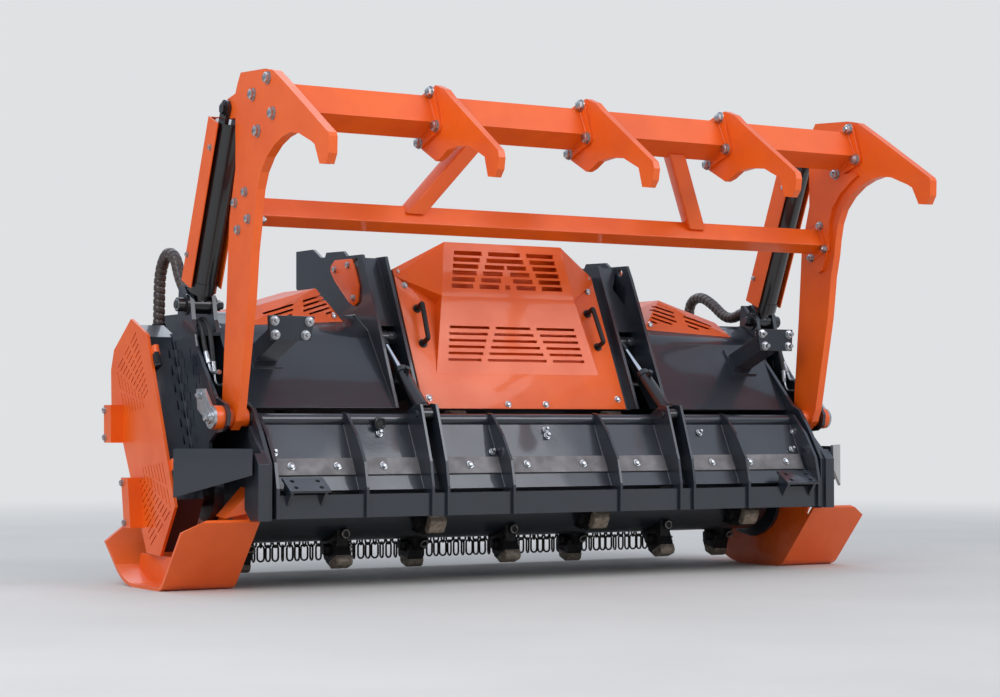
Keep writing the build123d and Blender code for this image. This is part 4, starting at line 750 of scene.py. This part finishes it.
for index in range(rotor["count"]):
    x = (index - (rotor["count"] - 1) / 2) * rotor["pitch"]
    turn = Matrix.Rotation(math.radians(rotor["firstAngle"] + index * rotor["step"]), 3, "X")
    middle = spot(x, *rotor["axis"])
    bolt = middle + turn @ Vector(rotor["boltAt"])
    reach = Vector((rotor["half"], 0, 0))
    addBolt(boltMesh, bolt - reach, inward, rotor["boltSize"])
    addSteps(nutMesh, bolt + reach, outward, rotor["nut"])
    for angle, across, up in circlePlaces(rotor["teeth"], rotor["toothRadius"], 0.5):
        place = bolt + reach + Vector((rotor["toothAt"], across, up))
        addBlock(nutMesh, place, rotor["tooth"], Matrix.Rotation(angle, 3, "X"), rotor["toothEdge"])
    screw = middle + turn @ Vector(rotor["screwAt"])
    screwOut = turn @ Vector(rotor["screwOut"])
    addSteps(boltMesh, screw, screwOut, rotor["screw"])
    top = screw + screwOut * rotor["screwTop"]
    ring = circlePoints(top, screwOut, rotor["ringRadius"], rotor["ringCorners"])
    addTube(nutMesh, ring, rotor["ringBar"], rotor["ringSides"], closed=True)
    hammer = Matrix.Translation(middle) @ turn.to_4x4() @ millimetres
    addPlate(tipMesh, rotor["tip"], -rotor["tipHalf"], rotor["tipHalf"], rotor["tipEdge"], hammer)
finishPiece("hammerBolts", boltMesh, "scaledSteel", "rotor")
finishPiece("crownNuts", nutMesh, "wornSteel", "rotor")
finishPiece("hammerTips", tipMesh, "forgedSteel", "rotor")
print("rotor dressed")

# flat plates on both sides: (y, z) outline, |x| from and to, rounding of the edges in metres
plates = {
    # orange covers with their rounded corners on the masts' outer sides
    "dropPlates": {
        "outline": ((654, 1147), (525, 1144), (491, 1095), (466, 1042), (474, 986), (502, 973), (543, 989),
                    (599, 1029), (655, 1071), (690, 1108), (685, 1128)),
        "x": (577.4, 586), "edge": 0.0015, "finish": "orangeEnamel"},
    # front sheets of the bays between the body and the cases, just behind the slotted guards' plane
    "baySheets": {
        "outline": ((573.5, 845), (465, 600), (470, 600), (578.5, 845)),
        "x": (1155.4, 1239.6), "edge": 0.001, "finish": "anthraciteEnamel"},
}
for name, plate in plates.items():
    plateMesh = bmesh.new()
    for sign in signs:
        addPlate(plateMesh, plate["outline"], sign * plate["x"][0], sign * plate["x"][1], plate["edge"])
    finishPiece(name, plateMesh, plate["finish"], "body")

# cylinders: gland nuts, rod wipers, end caps, pin nuts and ports on the barrels, and forged heads on the
# rods. Eyes are (y, z). Steps of glands go from the barrel's eye towards the rod's, those of nuts and heads
# across an eye, and those of necks from the rod's eye back along the rod
cylinders = {
    "push": {
        "x": 1205, "barrelEye": (184, 1596), "rodEye": (450, 957),
        "glands": ((604, 640, 49.5, 40), (640, 647, 42, 40), (647, 651, 34, 32), (44, 56, 48.5, 40)),
        "nuts": ((30, 34, 24, 24), (34, 40, 19, 6)), "port": (), "portAt": 0, "portOut": upward,
        "head": ((-30.4, 30.4, 31, 36),), "neck": ((21.7, 40, 27, 32),)},
    "door": {
        "x": 515, "barrelEye": (100, 585), "rodEye": (425, 860),
        "glands": ((214, 236, 28, 32), (236, 241, 21, 32), (30, 42, 27, 32)),
        "nuts": (), "port": ((20, 34, 11, 20), (34, 44, 10, 6)), "portAt": 200, "portOut": (0, -0.646, 0.763),
        "head": ((-20.4, 20.4, 25, 36),), "neck": ((17.5, 52, 17, 32),)},
}
for kind, cylinder in cylinders.items():
    for side, sign in sides:
        barrelEye = spot(sign * cylinder["x"], *cylinder["barrelEye"])
        rodEye = spot(sign * cylinder["x"], *cylinder["rodEye"])
        towardsRod = (rodEye - barrelEye).normalized()
        glandMesh = bmesh.new()
        addSteps(glandMesh, barrelEye, towardsRod, cylinder["glands"])
        addSteps(glandMesh, barrelEye, inward, cylinder["nuts"])
        addSteps(glandMesh, barrelEye, outward, cylinder["nuts"])
        port = barrelEye + towardsRod * cylinder["portAt"] / 1000
        addSteps(glandMesh, port, cylinder["portOut"], cylinder["port"])
        finishPiece(f"{kind}Glands_{side}", glandMesh, "blackEnamel", f"{kind}_barrel_{side}")
        headMesh = bmesh.new()
        addSteps(headMesh, rodEye, outward, cylinder["head"])
        addSteps(headMesh, rodEye, -towardsRod, cylinder["neck"])
        finishPiece(f"{kind}RodHead_{side}", headMesh, "blackEnamel", f"{kind}_rod_{side}")

# turned pieces that lie across the body, on both sides: (y, z) of the axis, and steps outward from the middle
turned = {
    # bracket pins of the push cylinders: round bosses on the ears, a turned head outside and a nut inside
    "bracketNuts": {
        "center": (450, 957), "finish": "blackEnamel",
        "steps": ((1253, 1260, 36, 40), (1260, 1264, 27, 32), (1264, 1287, 24, 36), (1238, 1235.5, 34, 36),
                  (1172, 1174.5, 34, 36), (1157, 1151, 34, 40), (1151, 1147, 21, 28), (1147, 1129, 19, 6))},
    # the bare ends of these pins
    "bracketThreads": {
        "center": (450, 957), "finish": "zincPlate", "steps": ((1287, 1289, 20, 36), (1129, 1122, 11, 24))},
    # painted spacers under the keepers, round the pivot pins
    "keeperSpacers": {"center": (157, 572), "finish": "orangeEnamel", "steps": ((1252.5, 1281.5, 39.5, 40),)},
}
for name, piece in turned.items():
    turnedMesh = bmesh.new()
    for sign in signs:
        addSteps(turnedMesh, spot(0, *piece["center"]), (sign, 0, 0), piece["steps"])
    finishPiece(name, turnedMesh, piece["finish"], "body")

# hose ends: hexagon nuts and pressed ferrules, at the bracket along Y and at the case along Z
ferrule = ((0, 10, 27, 6), (10, 13, 22, 24), (13, 44, 24.5, 28))
for side, sign in sides:
    fittingMesh = bmesh.new()
    for end, way in ((0, rearward), (-1, upward)):
        addSteps(fittingMesh, spot(sign * hose["x"], *hose[side][end]), way, ferrule)
    finishPiece(f"hoseFittings_{side}", fittingMesh, "blackEnamel", "body")

# thin hoses from the bracket down behind the arm, with bright ferrules and bent steel pipes
lines = {
    # (|x|, points of the hose from the bracket's floor, points of the pipe behind its ferrule)
    "runs": (
        (1229, ((440, 862), (438, 892), (396, 902), (366, 868), (350, 812), (326, 776)),
         ((326, 776), (312, 752), (294, 724), (264, 722), (238, 723))),
        (1211, ((470, 862), (468, 896), (396, 912), (352, 874), (328, 812), (313, 742)),
         ((313, 742), (308, 712), (292, 682), (264, 678), (238, 679))),
    ),
    # radius in metres and sides
    "hose": (0.0085, 14), "pipe": (0.0052, 12), "resolution": 8,
    "foot": ((0, 14, 13, 6),), "ferrule": ((-18, 12, 9.5, 20), (12, 26, 10.5, 6)), "nut": ((0, 16, 8, 6),),
}
thinHoses = bmesh.new()
pipeMesh = bmesh.new()
for sign in signs:
    for x, hoseRun, pipeRun in lines["runs"]:
        hoseRoute = [spot(sign * x, y, z) for y, z in hoseRun]
        pipeRoute = [spot(sign * x, y, z) for y, z in pipeRun]
        addTube(thinHoses, smoothRoute(hoseRoute, lines["resolution"]), *lines["hose"])
        addTube(pipeMesh, smoothRoute(pipeRoute, lines["resolution"]), *lines["pipe"])
        addSteps(pipeMesh, hoseRoute[0], upward, lines["foot"])
        addSteps(pipeMesh, pipeRoute[0], (pipeRoute[1] - pipeRoute[0]).normalized(), lines["ferrule"])
        addSteps(pipeMesh, pipeRoute[-1], forward, lines["nut"])
finishPiece("thinHoses", thinHoses, "hoseCover", "body")
finishPiece("steelPipes", pipeMesh, "zincPlate", "body")

# rubber stops for the side covers, which stay on the cases, and a small red reflector on each cover
stops = {
    "x": 1341, "places": ((495, 772), (322, 378)), "size": (0.018, 0.026, 0.046), "lean": 24, "edge": 0.004,
}
stopMesh = bmesh.new()
lean = Matrix.Rotation(math.radians(-stops["lean"]), 3, "X")
for sign in signs:
    for y, z in stops["places"]:
        addBlock(stopMesh, spot(sign * stops["x"], y, z), stops["size"], lean, stops["edge"])
finishPiece("rubberStops", stopMesh, "beltRubber", "body")
reflector = {"x": 1357, "place": (683, 336), "lens": ((0, 6, 11, 32),)}
for side, sign in sides:
    lensMesh = bmesh.new()
    base = spot(sign * reflector["x"], *reflector["place"])
    addSteps(lensMesh, base, (sign, 0, 0), reflector["lens"])
    finishPiece(f"reflector_{side}", lensMesh, "prismLens", f"side_cover_{side}")
print("fittings made")

# welds round the push frame's beams, where the arms and the claws sit on them
beams = {
    # (y, z) of the middle, size with a millimetre of bead on every side, and x of the welds
    "top": ((-92, 1578), 107, (-1178, -624.5, -587.5, -24.5, 12.5, 575.5, 612.5, 1178)),
    "low": ((69, 1247), 72, (-1178, 1178)), "tilt": 26,
}
frameWelds = bmesh.new()
for beam in ("top", "low"):
    center, size, places = beams[beam]
    for x in places:
        addWeld(frameWelds, squareLoop(center, size, beams["tilt"], x), weldBead["plain"])
finishPiece("frameWelds", frameWelds, "orangeEnamel", "push_frame", sharpAngle=60)

# straight welds on both sides of the machine: kind of bead, and runs of (|x|, y, z)
ribFaces = (218, 228, 790, 800, 480, 490, 540, 550, 1118)
welds = {
    # the door's ribs, on its panel and on its beam
    "doorWelds": ("door", [
        ("thin", run) for x in ribFaces
        for run in (((x, 45, 330), (x, 158, 548)), ((x, 0, 317), (x, 40, 320)))]),
    # masts on the hoods, stub plates, lower link lugs, top link bracket and cross beam
    "bodyWelds": ("body", [
        ("plain", ((577, 205, 606), (577, 406, 879), (577, 506, 940), (577, 940, 940))),
        ("plain", (
            (977, 130, 838), (1055, 130, 838), (1055, 130, 906), (977, 130, 906), (977, 130, 838)))] + [
        ("plain", ((x, 1048, 480), (x, 1048, 600))) for x in (425, 445, 515, 535)] + [
        ("plain", ((x, 968, 900), (x, 968, 1100))) for x in (45, 60)] + [
        ("thick", ((20, 968, z), (1138, 968, z))) for z in (600, 480)]),
}
for name, (body, rows) in welds.items():
    weldMesh = bmesh.new()
    for sign in signs:
        for kind, run in rows:
            addWeld(weldMesh, [spot(sign * x, y, z) for x, y, z in run], weldBead[kind])
    finishPiece(name, weldMesh, "anthraciteEnamel", body, sharpAngle=60)
print("welds made")

# gearbox: bearing cover on the input shaft with its bolts, splines, breather and drain plug. Places and steps
# are in millimetres, circles and blocks in metres
gearbox = {
    "input": (0, 1010, 760), "cap": ((0, 8, 66, 40), (8, 14, 46, 40)),
    "capBolts": 6, "boltCircle": 0.055, "boltStand": 0.008, "boltSize": 8,
    "breather": (120, 700, 900), "breatherSteps": ((0, 22, 14, 6), (22, 30, 18, 20)),
    "plug": (-120, 880, 900), "plugSize": 18,
    "splines": 8, "splineAt": (0, 1060, 760), "splineCircle": 0.0235, "spline": (0.005, 0.076, 0.007),
    "splineEdge": 0.0005,
}
capMesh = bmesh.new()
inputPoint = spot(*gearbox["input"])
addSteps(capMesh, inputPoint, rearward, gearbox["cap"])
for angle, across, up in circlePlaces(gearbox["capBolts"], gearbox["boltCircle"]):
    addBolt(capMesh, inputPoint + Vector((across, gearbox["boltStand"], up)), rearward, gearbox["boltSize"])
addSteps(capMesh, spot(*gearbox["breather"]), upward, gearbox["breatherSteps"])
addBolt(capMesh, spot(*gearbox["plug"]), upward, gearbox["plugSize"])
finishPiece("gearboxFittings", capMesh, "scaledSteel", "body")
splineMesh = bmesh.new()
for angle, across, up in circlePlaces(gearbox["splines"], gearbox["splineCircle"]):
    place = spot(*gearbox["splineAt"]) + Vector((across, 0, up))
    addBlock(splineMesh, place, gearbox["spline"], Matrix.Rotation(-angle, 3, "Y"), gearbox["splineEdge"])
finishPiece("shaftSplines", splineMesh, "zincPlate", "body")
print("gearbox dressed")

# plain pale floor and soft studio light
studio = {
    "floor": "#C4BFB6", "floorShade": "#CAC5BC", "patch": (0.8, 0.3, 0.7), "floorHalf": 60,
    "backdrop": "#DFE1E3",
    # distance in metres over which the floor turns into the backdrop
    "fade": (3.2, 9.0),
    # light of the sky at the horizon and above, and the height (as Z of the direction) where it is full
    "sky": "#D6E2F6", "horizonLight": 0.28, "skyLight": 0.95, "skyFull": 0.55,
    # (place, looks at, size, watts, tint)
    "lights": (
        ((3.5, -7.0, 5.5), (0, 0, 0.8), 5.0, 325, "#F8FAFF"),
        ((-6.0, -3.0, 4.5), (0, 0, 0.6), 4.0, 240, "#F2F7FF"),
        ((0.0, 5.0, 6.0), (0, 0, 1.0), 6.0, 130, "#F4F8FF"),
    ),
}
floorMaterial, floorTree, floorShader = newMaterial("paintedConcrete", {"Roughness": 0.75})
floorCoords = objectCoords(floorTree)
floorMask = noiseMask(floorTree, floorCoords, *studio["patch"])
floorColour = mixColours(floorTree, floorMask, studio["floor"], studio["floorShade"])
floorTree.links.new(floorColour, floorShader.inputs["Base Color"])
floorMesh = bmesh.new()
bmesh.ops.create_grid(floorMesh, x_segments=1, y_segments=1, size=studio["floorHalf"])
floorObject = meshObject("floor", floorMesh, floorMaterial)

# the floor fades into the backdrop, so that no horizon shows
reach = addNode(floorTree, "ShaderNodeVectorMath", {"operation": "LENGTH"}, {0: floorCoords})
fade = mapRange(
    floorTree, reach.outputs["Value"],
    {"From Min": studio["fade"][0], "From Max": studio["fade"][1], "interpolation_type": "SMOOTHSTEP"})
glow = addNode(floorTree, "ShaderNodeEmission", {"Color": toLinear(studio["backdrop"]), "Strength": 1.0})
floorBoth = addNode(
    floorTree, "ShaderNodeMixShader", None, {0: fade, 1: floorShader.outputs[0], 2: glow.outputs[0]})
floorTree.links.new(floorBoth.outputs[0], floorTree.nodes["Material Output"].inputs["Surface"])

# soft sky for the light: bright above, dim near the ground, so that gloss paint has something to mirror
world = bpy.data.worlds.new("studio")
scene.world = world
world.use_nodes = True
worldTree = world.node_tree
worldTree.nodes.clear()
rays = addNode(worldTree, "ShaderNodeLightPath")
seen = addNode(
    worldTree, "ShaderNodeMath", {"operation": "MAXIMUM"},
    {0: rays.outputs["Is Camera Ray"], 1: rays.outputs["Is Transmission Ray"]})
towards = addNode(
    worldTree, "ShaderNodeSeparateXYZ", None,
    {"Vector": addNode(worldTree, "ShaderNodeTexCoord").outputs["Generated"]})
height = mapRange(
    worldTree, towards.outputs["Z"],
    {"From Min": 0.0, "From Max": studio["skyFull"], "To Min": studio["horizonLight"],
     "To Max": studio["skyLight"], "interpolation_type": "SMOOTHSTEP"})
light = addNode(
    worldTree, "ShaderNodeBackground", {"Color": toLinear(studio["sky"])}, {"Strength": height})
back = addNode(worldTree, "ShaderNodeBackground", {"Color": toLinear(studio["backdrop"]), "Strength": 1.0})
both = addNode(
    worldTree, "ShaderNodeMixShader", None, {0: seen.outputs[0], 1: light.outputs[0], 2: back.outputs[0]})
addNode(worldTree, "ShaderNodeOutputWorld", None, {"Surface": both.outputs[0]})
for index, (place, target, size, power, tint) in enumerate(studio["lights"]):
    lampData = bpy.data.lights.new(f"softLight{index}", "AREA")
    lampData.shape = "SQUARE"
    lampData.size = size
    lampData.energy = power
    lampData.color = toLinear(tint)[:3]
    lamp = newObject(f"softLight{index}", lampData)
    lamp.location = place
    lamp.rotation_euler = (Vector(target) - Vector(place)).to_track_quat("-Z", "Y").to_euler()
scene.view_settings.view_transform = "Standard"
print("studio made")
